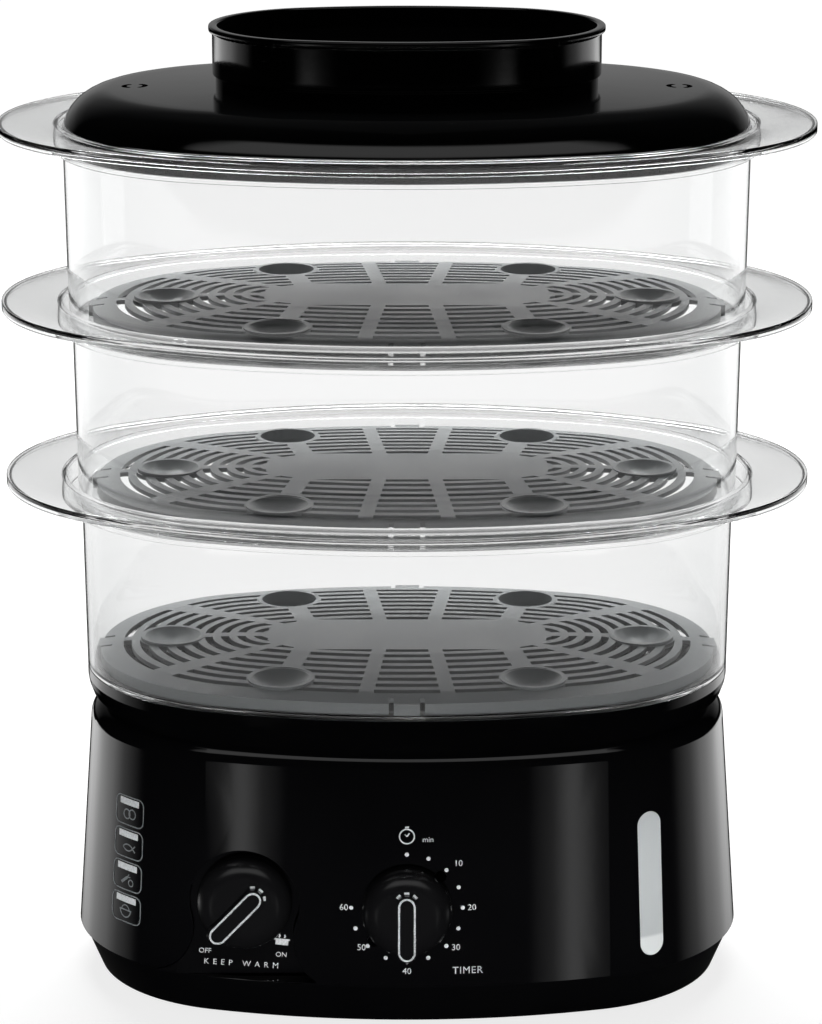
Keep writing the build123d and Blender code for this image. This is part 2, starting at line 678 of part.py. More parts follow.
def timer_screws():
    """Two short screws through the front wall, hidden under the knob."""
    pair = []
    for x, y in TIMER_SCREWS_AT:
        fastener = disc(2.6, -0.5, 0.0) + disc(SCREW_RADIUS - 0.05, -9.0, -0.5)
        pair.append(TIMER_PLANE * Pos(x, y, 0.5) * fastener)
    return Compound(children=pair)


def bezel_body(inset):
    """Round pad that faces forward, and a foot that follows the base's own curve."""
    face = KEEP_WARM_PLANE.offset(-inset)
    foot = extrude(face * bezel_outline(-inset), -BEZEL_DEPTH) & base_block(BEZEL_PROUD - inset)
    pad = face * Cylinder(
        BEZEL_RADIUS - inset, BEZEL_DEPTH, align=(Align.CENTER, Align.CENTER, Align.MAX)
    )
    return pad + foot


def keep_warm_bezel():
    """Matt arch set in the curved front; it carries the keep-warm switch."""
    body = bezel_body(0.0) - bezel_body(BEZEL_THICK)
    return body - KEEP_WARM_PLANE * Cylinder(BUSH_RADIUS + FIT_GAP, 20)


def keep_warm_switch():
    """Rotary switch behind the bezel."""
    case = control_case(SWITCH_CASE, SWITCH_WALL_GAP, SWITCH_SHAFT_DEPTH)
    for x in (-6, 6):
        blade = Box(5, 0.8, 8, align=(Align.CENTER, Align.CENTER, Align.MAX))
        case += Pos(x, 6, -SWITCH_WALL_GAP - SWITCH_CASE[2]) * blade
    return KEEP_WARM_PLANE * case


# ---------------------------------------------------------------- tiers


def rim_z(number):
    return FIRST_RIM_Z + (number - 1) * TIER_PITCH


def foot_z(number):
    """Underside of a bowl: the seat in the well of the bowl below it."""
    return rim_z(number - 1) - WELL_DEPTH


def bowl_half(number):
    return shrunk(TOP_BOWL_HALF, (BOWL_COUNT - number) * NEST_STEP)


def bowl(number):
    """Clear open bowl: drafted wall, inward ledge at the foot and a recessed well at the top."""
    top, foot = rim_z(number), foot_z(number)
    seat = top - WELL_DEPTH
    half = bowl_half(number)
    body = tapered(half, [(foot, -BOWL_DRAFT), (seat, 0.0)])
    well = slab(WELL_HALF, seat - BOWL_WALL, top, BOWL_WALL)
    body += fillet(well.edges().group_by(Axis.Z)[0], BOWL_WALL - 0.5)
    inner = [(foot + LEDGE_THICK, -BOWL_DRAFT - BOWL_WALL), (seat, -BOWL_WALL)]
    body -= tapered(half, inner)
    body -= slab(WELL_HALF, seat, top)
    return body - slab(GRATE_HALF, foot, foot + LEDGE_THICK, -GRATE_SEAT)


def bowl_flange(number):
    """Wide flat rim moulded round the top of a bowl, with a turned-down lip."""
    top = rim_z(number)
    plate = slab(RIM_HALF, top - RIM_THICK, top, 0.0, RIM_END_ROUND)
    lip = slab(RIM_HALF, top - RIM_LIP, top, 0.0, RIM_END_ROUND)
    lip -= slab(RIM_HALF, top - RIM_LIP, top, -BOWL_WALL, RIM_END_ROUND)
    flange = plate + lip
    outer_top = flange.edges().group_by(Axis.Z)[-1]
    return fillet(outer_top, RIM_ROUND) - slab(WELL_HALF, top - RIM_LIP, top, BOWL_WALL)


def inner_oval(offset_in):
    """The grate's outline moved inwards; past its end radius the ends come to a point."""
    end = END_ROUND * GRATE_HALF[1]
    if offset_in < end:
        return oval(GRATE_HALF, -offset_in)
    half_x, half_y = GRATE_HALF
    flank = ((half_x - end) ** 2 + half_y**2 - end**2) / (2 * (half_y - end))
    circle = Circle(flank - offset_in)
    return Pos(0, half_y - flank) * circle & Pos(0, flank - half_y) * circle


def slot_rows():
    """Concentric rows of slots, each one bar wide, before the spokes break them."""
    rows = Sketch()
    for row in range(SLOT_ROWS):
        start = SLOT_START + row * SLOT_PITCH
        rows += inner_oval(start) - inner_oval(start + SLOT_WIDTH)
    return rows


def spoke(start, end, width):
    (x0, y0), (x1, y1) = start, end
    length = math.hypot(x1 - x0, y1 - y0)
    angle = math.degrees(math.atan2(y1 - y0, x1 - x0))
    return Pos((x0 + x1) / 2, (y0 + y1) / 2) * Rot(0, 0, angle) * Rectangle(length, width)


def grate_solid_parts():
    """Middle plate with its pointed tips, the spine, and the spokes of all four quarters."""
    length, width = PLATE_HALF_LENGTH, PLATE_HALF_WIDTH
    solid = Rectangle(2 * length, 2 * width) + Rectangle(2 * GRATE_HALF[0], SPINE_WIDTH)
    tip = Polygon((0, 0), (length, 0), PLATE_TIP[1], PLATE_TIP[0], (length, width), align=None)
    tip += Polygon((length - 1, 0), (PLATE_TIP[1][0], 0), PLATE_TIP[1], PLATE_TIP[0], align=None)
    quarter = tip + Polygon(*DIAGONAL_SPOKE, align=None)
    for start, end, spoke_width in (MIDDLE_SPOKE, CORNER_SPOKE, OUTER_SPOKE):
        quarter += spoke(start, end, spoke_width)
    half = quarter + mirror(quarter, Plane.XZ)
    return solid + half + mirror(half, Plane.YZ)


def dish_places():
    """(x, y, rim height, deep) of each dish; the two at the back are deep cups."""
    x, y = CORNER_DISH_AT
    corners = [(side * x, row * y, CORNER_DISH_RIM, row > 0) for side in (-1, 1) for row in (-1, 1)]
    return corners + [(side * SIDE_DISH_X, 0.0, SIDE_DISH_RIM, False) for side in (-1, 1)]


def grate_slots():
    """Flat pattern of all slots."""
    slots = slot_rows() - grate_solid_parts()
    for x, y, _, _ in dish_places():
        slots -= Pos(x, y) * Circle(DISH_RADIUS + DISH_RING + 0.6)
    return slots


def grate_blank(drop):
    """Crowned oval block whose top lies this far under the finished top."""
    crown = tapered(GRATE_HALF, [(z - drop, grow) for z, grow in GRATE_CROWN])
    return slab(GRATE_HALF, -30, -drop) + crown


def snap_tab():
    """Springy tongue on the edge band; it is cut free on both sides."""
    return block((-3, TAB_REACH), (-TAB_WIDTH / 2, TAB_WIDTH / 2), (-GRATE_EDGE, 0))


def tab_slits():
    slits = []
    for side in (-1, 1):
        y = side * (TAB_WIDTH + TAB_SLIT) / 2
        slits.append(block((-5.5, 5), (y - TAB_SLIT / 2, y + TAB_SLIT / 2), (-20, 20)))
    return slits


def grate():
    """Lift-out grate: crowned slotted plate, edge band, six dishes and four snap tabs."""
    body = grate_blank(0) - grate_blank(GRATE_SHEET)
    body += slab(GRATE_HALF, -GRATE_EDGE, 0) - slab(GRATE_HALF, -GRATE_EDGE, 0, -GRATE_SHEET)
    body &= slab(GRATE_HALF, -GRATE_EDGE, 30)
    body -= extrude(Pos(0, 0, -20) * grate_slots(), 40)
    for x, y, rim, deep in dish_places():
        body -= disc(DISH_RADIUS + DISH_RING / 2, -20, 20, (x, y))
        body += Pos(x, y, rim) * (deep_dish() if deep else shallow_dish())
    for turn, reach in zip((0, 180, 90, 270), (GRATE_HALF[0],) * 2 + (GRATE_HALF[1],) * 2):
        place = Rot(0, 0, turn) * Pos(reach, 0, 0)
        body += place * snap_tab()
        for slit in tab_slits():
            body -= place * slit
    return body


def shallow_dish():
    """Shallow round hollow with a raised rim, its rim top at z = 0."""
    outer_radius = DISH_RADIUS + DISH_RING
    ball = (DISH_RADIUS**2 + DISH_DEPTH**2) / (2 * DISH_DEPTH)
    shell = Pos(0, 0, ball - DISH_DEPTH) * Sphere(ball + GRATE_SHEET)
    shell &= disc(outer_radius, -DISH_DEPTH - GRATE_SHEET, -1.0)
    rim = disc(outer_radius, -GRATE_SHEET - 1.0, 0)
    return rim + shell - Pos(0, 0, ball - DISH_DEPTH) * Sphere(ball)


def deep_dish():
    """Straight-walled round cup with a raised rim, its rim top at z = 0."""
    outer = disc(DISH_RADIUS + 1.6, -CUP_DISH_DEPTH - 1.6, 0)
    outer = fillet(outer.edges().group_by(Axis.Z)[0], 3.0)
    inner = disc(DISH_RADIUS, -CUP_DISH_DEPTH, 0)
    inner = fillet(inner.edges().group_by(Axis.Z)[0], 2.5)
    return outer + disc(DISH_RADIUS + DISH_RING, -GRATE_SHEET - 1.0, 0) - inner


def juice_tray():
    """Juice tray: rounded outer wall and an open steam chimney in the middle."""
    half = shrunk(bowl_half(1), BOWL_DRAFT)
    top = foot_z(1)
    levels = [
        (BASE_TOP_Z, -TRAY_NECK),
        (BASE_TOP_Z + 4.7, -TRAY_NECK / 3),
        (BASE_TOP_Z + 9.0, -TRAY_NECK / 12),
        (BASE_TOP_Z + 12.0, 0.0),
        (top, 0.0),
    ]
    body = tapered(half, levels)
    inner = [(z + TRAY_FLOOR_THICK, grow - TRAY_WALL) for z, grow in levels[:-1]]
    body -= tapered(half, inner + [(top, -TRAY_WALL)])
    chimney_top = top - 1.5
    body += slab(CHIMNEY_HALF, BASE_TOP_Z, chimney_top, TRAY_WALL)
    body -= slab(CHIMNEY_HALF, BASE_TOP_Z, chimney_top)
    skirt = -TANK_INSET - TANK_WALL - TRAY_SKIRT_INSET
    skirt_z = BASE_TOP_Z - TRAY_SKIRT
    body += slab(BASE_HALF, skirt_z, BASE_TOP_Z, skirt) - slab(
        BASE_HALF, skirt_z, BASE_TOP_Z, skirt - TRAY_WALL
    )
    return body


# ---------------------------------------------------------------- lid


def lid_foot_z():
    return rim_z(BOWL_COUNT) - WELL_DEPTH


def lid_block(inset):
    """Rounded lid body; inset gives its inner surface."""
    low, high = lid_foot_z(), lid_foot_z() + LID_RISE - inset
    levels = [(low, -inset), (high, -LID_DRAFT - inset)]
    body = tapered(LID_HALF, levels)
    edges = body.edges().filter_by_position(Axis.Z, high - 0.01, high + 0.01)
    return fillet(edges, LID_SHOULDER - inset)


def lid():
    """Glossy cover: rounded shell, two steam vents and four sockets for the cup's screws."""
    shell = lid_block(0.0) - lid_block(LID_WALL)
    for side in (-1, 1):
        for gap in (-1, 1):
            slot = SlotOverall(VENT_LENGTH, VENT_WIDTH)
            x = side * VENT_X + gap * (VENT_LENGTH / 2 + 0.8)
            shell -= extrude(Pos(x, VENT_Y, 300) * slot, 200)
    for x, y in cup_screw_points():
        shell -= disc(SCREW_RADIUS + 0.2, 300, 500, (x, y))
    return shell


def cup_screw_points():
    return [(-50, -24), (50, -24), (50, 24), (-50, 24)]


def lid_cup():
    """Open cup that stands on the lid: handle, and a measure when turned over."""
    low = lid_foot_z() + LID_RISE
    lower = shrunk(CUP_HALF, CUP_STEP)
    body = tapered(lower, [(low, -CUP_DRAFT), (CUP_STEP_Z, 0)], CUP_END_ROUND)
    body += tapered(CUP_HALF, [(CUP_STEP_Z, -CUP_DRAFT / 2), (CUP_RIM_Z, 0)], CUP_END_ROUND)
    body += slab(CUP_HALF, CUP_RIM_Z - 3.0, CUP_RIM_Z, CUP_LIP, CUP_END_ROUND)
    floor = low + CUP_WALL
    body -= tapered(
        lower, [(floor, -CUP_DRAFT - CUP_WALL), (CUP_RIM_Z, 0.3 - CUP_WALL)], CUP_END_ROUND
    )
    for x, y in cup_screw_points():
        body += disc(4.0, floor, floor + 5.0, (x, y))
        body -= disc(SCREW_RADIUS, low, floor + 3.5, (x, y))
    return body


def lid_screws():
    """Four screws driven from under the lid into the cup."""
    head_z = lid_foot_z() + LID_RISE - LID_WALL
    length = LID_WALL + CUP_WALL + 3.0
    return Compound(children=[Pos(x, y, head_z) * screw(length) for x, y in cup_screw_points()])


def main():
    os.makedirs("parts", exist_ok=True)
    nodes = {
        "base_housing": base_housing(),
        "bottom_cover": bottom_cover(),
        "rubber_feet": rubber_feet(),
        "cover_screws": cover_screws(),
        "water_tank": water_tank(),
        "heater_dish": heater_dish(),
        "heater_seal": heater_seal(),
        "heating_element": heating_element(),
        "clamp_ring": clamp_ring(),
        "clamp_screws": clamp_screws(),
        "thermostat": thermostat(),
        "thermal_fuse": thermal_fuse(),
        "terminal_block": terminal_block(),
        "cable_gland": cable_gland(),
        "level_window": level_window(),
        "level_spigot": level_spigot(),
        "timer_case": timer_case(),
        "timer_bell": timer_bell(),
        "timer_screws": timer_screws(),
        "timer_shaft": TIMER_PLANE * shaft(TIMER_SHAFT_DEPTH),
        "timer_knob": TIMER_PLANE * knob(TIMER_KNOB_RADIUS, 0),
        "keep_warm_bezel": keep_warm_bezel(),
        "keep_warm_switch": keep_warm_switch(),
        "keep_warm_shaft": KEEP_WARM_PLANE * shaft(SWITCH_SHAFT_DEPTH),
        "keep_warm_knob": KEEP_WARM_PLANE * knob(KEEP_WARM_KNOB_RADIUS, KEEP_WARM_POINTER_ANGLE),
        "juice_tray": juice_tray(),
        "lid": lid(),
        "lid_cup": lid_cup(),
        "lid_screws": lid_screws(),
    }
    plain_grate = grate()
    for number in range(1, BOWL_COUNT + 1):
        nodes["bowl_" + str(number)] = bowl(number)
        nodes["bowl_" + str(number) + "_flange"] = bowl_flange(number)
        edge_z = foot_z(number) + LEDGE_THICK + GRATE_EDGE
        nodes["grate_" + str(number)] = Pos(0, 0, edge_z) * plain_grate
    for name, shape in nodes.items():
        save(shape, name)


main()
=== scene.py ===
import math

import bmesh
import bpy
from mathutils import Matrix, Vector
from mathutils.bvhtree import BVHTree


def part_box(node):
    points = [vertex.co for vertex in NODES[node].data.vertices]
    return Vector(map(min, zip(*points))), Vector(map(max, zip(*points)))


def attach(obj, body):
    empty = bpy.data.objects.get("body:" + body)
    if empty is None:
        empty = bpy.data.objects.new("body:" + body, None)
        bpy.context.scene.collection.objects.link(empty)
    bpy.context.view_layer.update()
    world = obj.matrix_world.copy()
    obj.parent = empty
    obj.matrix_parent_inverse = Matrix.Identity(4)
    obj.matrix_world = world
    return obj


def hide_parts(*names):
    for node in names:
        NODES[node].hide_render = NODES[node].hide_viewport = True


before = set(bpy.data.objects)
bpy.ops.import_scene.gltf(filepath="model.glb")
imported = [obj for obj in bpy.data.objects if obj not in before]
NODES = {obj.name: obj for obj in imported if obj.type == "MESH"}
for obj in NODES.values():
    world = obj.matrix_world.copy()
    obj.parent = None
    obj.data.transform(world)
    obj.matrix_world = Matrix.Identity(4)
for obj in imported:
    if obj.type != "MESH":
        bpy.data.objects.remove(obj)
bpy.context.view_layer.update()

MM = 0.001

# ------------------------------------------------------------ sizes, in millimetres
# Ovals of four tangent arcs: half length, half width, end radius as a share of the half width.
END_ROUND = 0.9
FLANGE_END_ROUND = 0.8
WELL_HALF = (155.0, 102.0)
WELL_DEPTH = 10.5
GRATE_HALF = (141.5, 90.0)
GRATE_SEAT = 5.0
TOP_BOWL_HALF = (153.2, 100.2)
NEST_STEP = 2.4
BOWL_DRAFT = 1.0
BOWL_WALL = 2.0
LEDGE_THICK = 2.2
FLANGE_THICK = 2.5
AIR_GAP = 0.08

BASE_HALF = (153.8, 94.2)
BASE_FOOT_Z = 22.0
BASE_SLOPE = 8.0 / 108.5
TIMER_AT = (0.0, 58.5)
TIMER_FACE_Y = -(BASE_HALF[1] - BASE_SLOPE * (TIMER_AT[1] - BASE_FOOT_Z))
KEEP_WARM_AT = (-73.0, 57.0)
KEEP_WARM_FACE_Y = -76.0
DIAL_TILT = math.atan(BASE_SLOPE)
WINDOW_SPAN_Z = (28.0, 98.0)

# Marks round the timer: ring of dots, and each number's place from the knob's middle.
DIAL_DOTS = 13
DIAL_RING = 24.9
DIAL_DOT = 0.95
MINUTES_TALL = 2.8
MINUTES = (
    ("10", 22.9, 20.5),
    ("20", 29.0, 0.0),
    ("30", 21.9, -18.4),
    ("40", 0.0, -29.3),
    ("50", -20.4, -18.4),
    ("60", -28.2, 0.0),
)
CLOCK_UP = 33.2
CLOCK_RADIUS = 3.3

# Food signs up the left end: frame, pitch, height of their middle and turn from the front.
SIGN_WIDE = 19.0
SIGN_TALL = 13.2
SIGN_CORNER = 3.2
SIGN_PITCH = 15.3
SIGNS_Z = 68.6
SIGNS_TURN = 45.5

# Knobs: half width and tip of the grip, and how far the silver line stays inside its edge.
GRIP_HALF = 4.6
GRIP_TIP = 10.6
LINE_INSET = 1.15
TIMER_KNOB_RADIUS = 20.1
KEEP_WARM_KNOB_RADIUS = 21.4
KEEP_WARM_REST_TURN = -44.0

# Patterns: how far the melt's flow drifts before the sheen changes.
FLOW_MM = 40.0

BOWLS = {1: "bowl_bottom", 2: "bowl_middle", 3: "bowl_top"}

# Lid: a low pillow with a wide round shoulder and a barely domed top.
LID_HALF = (154.3, 101.3)
LID_SHOULDER = 22.5
LID_TOP_Z = 414.3
LID_DOME = 1.3
LID_WALL = 2.2
LID_CEILING_Z = 410.4
VENT_X = 121.0
VENT_RADIUS = 4.7
VENT_WIDTH = 2.4
VENT_SWEEP = 110.0

# Cup on the lid, and its four screw bosses.
CUP_HALF = (86.3, 55.5)
CUP_END_ROUND = 0.92
CUP_STEP = 1.4
CUP_STEP_Z = 419.2
CUP_WALL = 2.2
CUP_LIP = 1.6
CUP_LIP_TALL = 2.6
CUP_FLOOR_Z = 415.6
CUP_SCREWS = ((-50, -24), (50, -24), (50, 24), (-50, 24))
BOSS_RADIUS = 4.0
BOSS_TALL = 4.6


# ------------------------------------------------------------ small helpers


def srgb(hex_code, alpha=1.0):
    """Hex colour as it is seen, turned to the linear values that shaders take."""
    value = hex_code.lstrip("#")
    parts = [int(value[i : i + 2], 16) / 255 for i in (0, 2, 4)]
    linear = [p / 12.92 if p <= 0.04045 else ((p + 0.055) / 1.055) ** 2.4 for p in parts]
    return (*linear, alpha)


def add(tree, kind, settings=None, inputs=None):
    """Add one node; an input is given a value, or the output socket that feeds it."""
    node = tree.nodes.new(kind)
    for name, value in (settings or {}).items():
        setattr(node, name, value)
    for name, value in (inputs or {}).items():
        if isinstance(value, bpy.types.NodeSocket):
            tree.links.new(value, node.inputs[name])
        else:
            node.inputs[name].default_value = value
    return node


def ramp(node, stops):
    """Set a colour ramp's stops: place along the ramp, then brightness or hex colour."""
    elements = node.color_ramp.elements
    while len(elements) > 1:
        elements.remove(elements[0])
    for i, (place, value) in enumerate(stops):
        element = elements[0] if i == 0 else elements.new(place)
        element.position = place
        element.color = srgb(value) if isinstance(value, str) else (value, value, value, 1)
    return node


def new_material(name):
    """Empty material and its node tree."""
    material = bpy.data.materials.new(name)
    material.use_nodes = True
    material.node_tree.nodes.clear()
    return material, material.node_tree


def finish_material(tree, shader):
    """Let the shader's output be what the surface shows."""
    add(tree, "ShaderNodeOutputMaterial", inputs={"Surface": shader})


def shade_round(mesh, sharpest):
    """Shade bends as round, and leave edges crisp that turn by more than sharpest degrees."""
    mesh.shade_smooth()
    mesh.set_sharp_from_angle(angle=math.radians(sharpest))


def evaluated_mesh(piece):
    """New mesh of what the piece's modifiers, nodes or letters make."""
    bpy.context.view_layer.update()
    return bpy.data.meshes.new_from_object(
        piece.evaluated_get(bpy.context.evaluated_depsgraph_get())
    )


def mesh_object(name, verts, faces, material, sharpest=None):
    """New mesh piece in metres, at the origin; without an angle it shades flat."""
    mesh = bpy.data.meshes.new(name)
    mesh.from_pydata(verts, [], faces)
    mesh.update()
    if sharpest is not None:
        shade_round(mesh, sharpest)
    mesh.materials.append(material)
    piece = bpy.data.objects.new(name, mesh)
    bpy.context.scene.collection.objects.link(piece)
    return piece


def arc(radius, first, last, steps, at=(0.0, 0.0)):
    """Points along an arc, from the first to the last angle in degrees."""
    turns = [math.radians(first + (last - first) * i / steps) for i in range(steps + 1)]
    return [(at[0] + radius * math.cos(t), at[1] + radius * math.sin(t)) for t in turns]


# ------------------------------------------------------------ materials


def moulded_plastic(name, colour, roughness, grain_mm, grain_depth, ior=1.5):
    """Injection-moulded plastic: sheen that drifts with the melt's flow, and the mould's grain."""
    material, tree = new_material(name)
    place = add(tree, "ShaderNodeTexCoord")
    flow = add(
        tree,
        "ShaderNodeTexNoise",
        inputs={"Vector": place.outputs["Object"], "Scale": 1 / (FLOW_MM * MM), "Detail": 2.0},
    )
    sheen = add(
        tree,
        "ShaderNodeMapRange",
        inputs={
            "Value": flow.outputs["Fac"],
            "From Min": 0.3,
            "From Max": 0.7,
            "To Min": roughness * 0.85,
            "To Max": roughness * 1.15,
        },
    )
    grain = add(
        tree,
        "ShaderNodeTexNoise",
        inputs={"Vector": place.outputs["Object"], "Scale": 1 / (grain_mm * MM), "Detail": 3.0},
    )
    bump = add(
        tree,
        "ShaderNodeBump",
        inputs={"Height": grain.outputs["Fac"], "Distance": grain_depth * MM, "Strength": 0.5},
    )
    tone = add(
        tree,
        "ShaderNodeMix",
        {"data_type": "RGBA"},
        {"Factor": flow.outputs["Fac"], "A": srgb(colour[0]), "B": srgb(colour[1])},
    )
    skin = add(
        tree,
        "ShaderNodeBsdfPrincipled",
        inputs={
            "Base Color": tone.outputs["Result"],
            "Roughness": sheen.outputs["Result"],
            "IOR": ior,
            "Normal": bump.outputs["Normal"],
        },
    )
    finish_material(tree, skin.outputs["BSDF"])
    return material


def plated_steel(name, colour, roughness, streak_mm):
    """Metal with fine drawing marks that spread its reflections along one way."""
    material, tree = new_material(name)
    place = add(tree, "ShaderNodeTexCoord")
    stretch = add(
        tree,
        "ShaderNodeMapping",
        inputs={"Vector": place.outputs["Object"], "Scale": (1.0, 1.0, 14.0)},
    )
    marks = add(
        tree,
        "ShaderNodeTexNoise",
        inputs={"Vector": stretch.outputs["Vector"], "Scale": 1 / (streak_mm * MM), "Detail": 4.0},
    )
    sheen = add(
        tree,
        "ShaderNodeMapRange",
        inputs={
            "Value": marks.outputs["Fac"],
            "To Min": roughness * 0.7,
            "To Max": roughness * 1.4,
        },
    )
    bump = add(
        tree,
        "ShaderNodeBump",
        inputs={"Height": marks.outputs["Fac"], "Distance": 0.02 * MM, "Strength": 0.4},
    )
    tone = add(
        tree,
        "ShaderNodeMix",
        {"data_type": "RGBA"},
        {"Factor": marks.outputs["Fac"], "A": srgb(colour[0]), "B": srgb(colour[1])},
    )
    skin = add(
        tree,
        "ShaderNodeBsdfPrincipled",
        inputs={
            "Base Color": tone.outputs["Result"],
            "Metallic": 1.0,
            "Roughness": sheen.outputs["Result"],
            "Normal": bump.outputs["Normal"],
        },
    )
    finish_material(tree, skin.outputs["BSDF"])
    return material


def clear_san():
    """Clear SAN: water-clear and hard, with grey painted on where its surface is seen at a grazing
    angle, a painted shade for the dark room that those edges mirror.
    """
    material, tree = new_material("clear_moulded_SAN")
    facing = add(tree, "ShaderNodeLayerWeight", inputs={"Blend": 0.35})
    # Painted shade: grey laid into the colour where the surface turns edge-on, in place of the dark
    # room that the clear edges would mirror.
    depth = ramp(
        add(tree, "ShaderNodeValToRGB", inputs={"Fac": facing.outputs["Facing"]}),
        [(0.0, "#fdfdfd"), (0.55, "#f8f9f9"), (0.8, "#c4c6c6"), (1.0, "#6a6c6d")],
    )
    place = add(tree, "ShaderNodeTexCoord")
    flow = add(
        tree,
        "ShaderNodeTexNoise",
        inputs={"Vector": place.outputs["Object"], "Scale": 1 / (25 * MM), "Detail": 1.0},
    )
    wave = add(
        tree,
        "ShaderNodeBump",
        inputs={"Height": flow.outputs["Fac"], "Distance": 0.06 * MM, "Strength": 0.3},
    )
    body = add(
        tree,
        "ShaderNodeBsdfPrincipled",
        inputs={
            "Base Color": depth.outputs["Color"],
            "Roughness": 0.02,
            "IOR": 1.46,
            "Transmission Weight": 1.0,
            "Normal": wave.outputs["Normal"],
        },
    )
    rays = add(tree, "ShaderNodeLightPath")
    either = add(
        tree,
        "ShaderNodeMath",
        {"operation": "MAXIMUM"},
        {0: rays.outputs["Is Shadow Ray"], 1: rays.outputs["Is Diffuse Ray"]},
    )
    let_through = add(tree, "ShaderNodeBsdfTransparent", inputs={"Color": srgb("#f1f2f2")})
    mixed = add(
        tree,
        "ShaderNodeMixShader",
        inputs={0: either.outputs[0], 1: body.outputs["BSDF"], 2: let_through.outputs["BSDF"]},
    )
    finish_material(tree, mixed.outputs["Shader"])
    return material


def frosted_window():
    """Frosted SAN lens of the level window: pale grey, and lighter at its solid foot."""
    material, tree = new_material("frosted_SAN_window")
    place = add(tree, "ShaderNodeTexCoord")
    split = add(tree, "ShaderNodeSeparateXYZ", inputs={"Vector": place.outputs["Object"]})
    foot = ramp(
        add(
            tree,
            "ShaderNodeValToRGB",
            inputs={
                "Fac": add(
                    tree,
                    "ShaderNodeMapRange",
                    inputs={
                        "Value": split.outputs["Z"],
                        "From Min": WINDOW_SPAN_Z[0] * MM,
                        "From Max": WINDOW_SPAN_Z[1] * MM,
                    },
                ).outputs["Result"]
            },
        ),
        [(0.0, "#e4e7e7"), (0.13, "#dee1e1"), (0.15, "#b9bdbe"), (1.0, "#c3c7c8")],
    )
    etch = add(
        tree,
        "ShaderNodeTexNoise",
        inputs={"Vector": place.outputs["Object"], "Scale": 1 / (0.6 * MM), "Detail": 2.0},
    )
    bump = add(
        tree,
        "ShaderNodeBump",
        inputs={"Height": etch.outputs["Fac"], "Distance": 0.02 * MM, "Strength": 0.4},
    )
    lens = add(
        tree,
        "ShaderNodeBsdfPrincipled",
        inputs={
            "Base Color": foot.outputs["Color"],
            "Roughness": 0.3,
            "IOR": 1.5,
            "Transmission Weight": 0.12,
            "Normal": bump.outputs["Normal"],
        },
    )
    finish_material(tree, lens.outputs["BSDF"])
    return material


def woven_sleeve():
    """Glass-fibre sleeve: off-white yarn of 0.6 mm in a plain weave, dull and ribbed."""
    material, tree = new_material("woven_glass_sleeve")
    place = add(tree, "ShaderNodeTexCoord")
    yarn = add(
        tree,
        "ShaderNodeTexWave",
        inputs={"Vector": place.outputs["Object"], "Scale": 1 / (1.2 * MM), "Distortion": 0.4},
    )
    bump = add(
        tree,
        "ShaderNodeBump",
        inputs={"Height": yarn.outputs["Fac"], "Distance": 0.1 * MM, "Strength": 0.8},
    )
    tone = ramp(
        add(tree, "ShaderNodeValToRGB", inputs={"Fac": yarn.outputs["Fac"]}),
        [(0.0, "#c9c6ba"), (1.0, "#efeee8")],
    )
    skin = add(
        tree,
        "ShaderNodeBsdfPrincipled",
        inputs={
            "Base Color": tone.outputs["Color"],
            "Roughness": 0.85,
            "Normal": bump.outputs["Normal"],
        },
    )
    finish_material(tree, skin.outputs["BSDF"])
    return material


def pad_print_ink(name, colour):
    """Pad-printed ink: a thin matt film that covers a little unevenly, as if slightly worn."""
    material, tree = new_material(name)
    place = add(tree, "ShaderNodeTexCoord")
    cover = add(
        tree,
        "ShaderNodeTexNoise",
        inputs={"Vector": place.outputs["Object"], "Scale": 1 / (0.8 * MM), "Detail": 2.0},
    )
    tone = ramp(
        add(tree, "ShaderNodeValToRGB", inputs={"Fac": cover.outputs["Fac"]}),
        [(0.25, colour[0]), (0.6, colour[1])],
    )
    skin = add(
        tree,
        "ShaderNodeBsdfPrincipled",
        inputs={"Base Color": tone.outputs["Color"], "Roughness": 0.45},
    )
    finish_material(tree, skin.outputs["BSDF"])
    return material


# High-gloss ABS straight from a polished mould: near black, with sharp mirror reflections.
GLOSS_BLACK = moulded_plastic("gloss_ABS_black", ("#050506", "#080809"), 0.05, 18.0, 0.03)
# The same ABS on the lid, a touch softer from steam and wiping.
LID_BLACK = moulded_plastic("gloss_ABS_lid", ("#060607", "#090a0a"), 0.09, 14.0, 0.04)
# Spark-eroded ABS of the pan and bezel: black with a fine even grain that kills reflections.
MATT_BLACK = moulded_plastic("spark_eroded_ABS", ("#040405", "#070708"), 0.46, 0.7, 0.04)
# Satin ABS of the knobs: dark, with a soft crescent of light on the dome.
SATIN_BLACK = moulded_plastic("satin_ABS_knob", ("#0a0a0b", "#101011"), 0.24, 1.2, 0.01)
# Grey polypropylene of the grates: waxy satin, lightly grained.
GREY_PP = moulded_plastic("grey_polypropylene", ("#76797a", "#85888a"), 0.34, 0.9, 0.02, 1.49)
# Dark polypropylene of the tank: waxy and even.
TANK_PP = moulded_plastic("dark_polypropylene", ("#1a1a1c", "#242427"), 0.38, 1.0, 0.02, 1.49)
# Natural nylon of the switch and timer cases: ivory, slightly waxy.
NYLON = moulded_plastic("natural_nylon", ("#cdc9bb", "#dbd8cc"), 0.42, 0.8, 0.02, 1.53)
# Phenolic of the thermostat: hard brown moulding with pale filler in it.
PHENOLIC = moulded_plastic("brown_phenolic", ("#2a1a12", "#3a261b"), 0.4, 0.5, 0.02, 1.55)
# Rubber of the feet and bushing: dull dark grey.
RUBBER = moulded_plastic("black_rubber", ("#161616", "#202020"), 0.75, 0.5, 0.04, 1.52)
# Silicone of the seal and the level elbow: dull brick red.
SILICONE = moulded_plastic("red_silicone", ("#7c3a2c", "#93483a"), 0.55, 0.8, 0.02, 1.41)
# Deep-drawn stainless steel of the dish: bright, with faint drawing marks.
STAINLESS = plated_steel("drawn_stainless", ("#bfc0c2", "#d6d7d8"), 0.2, 1.5)
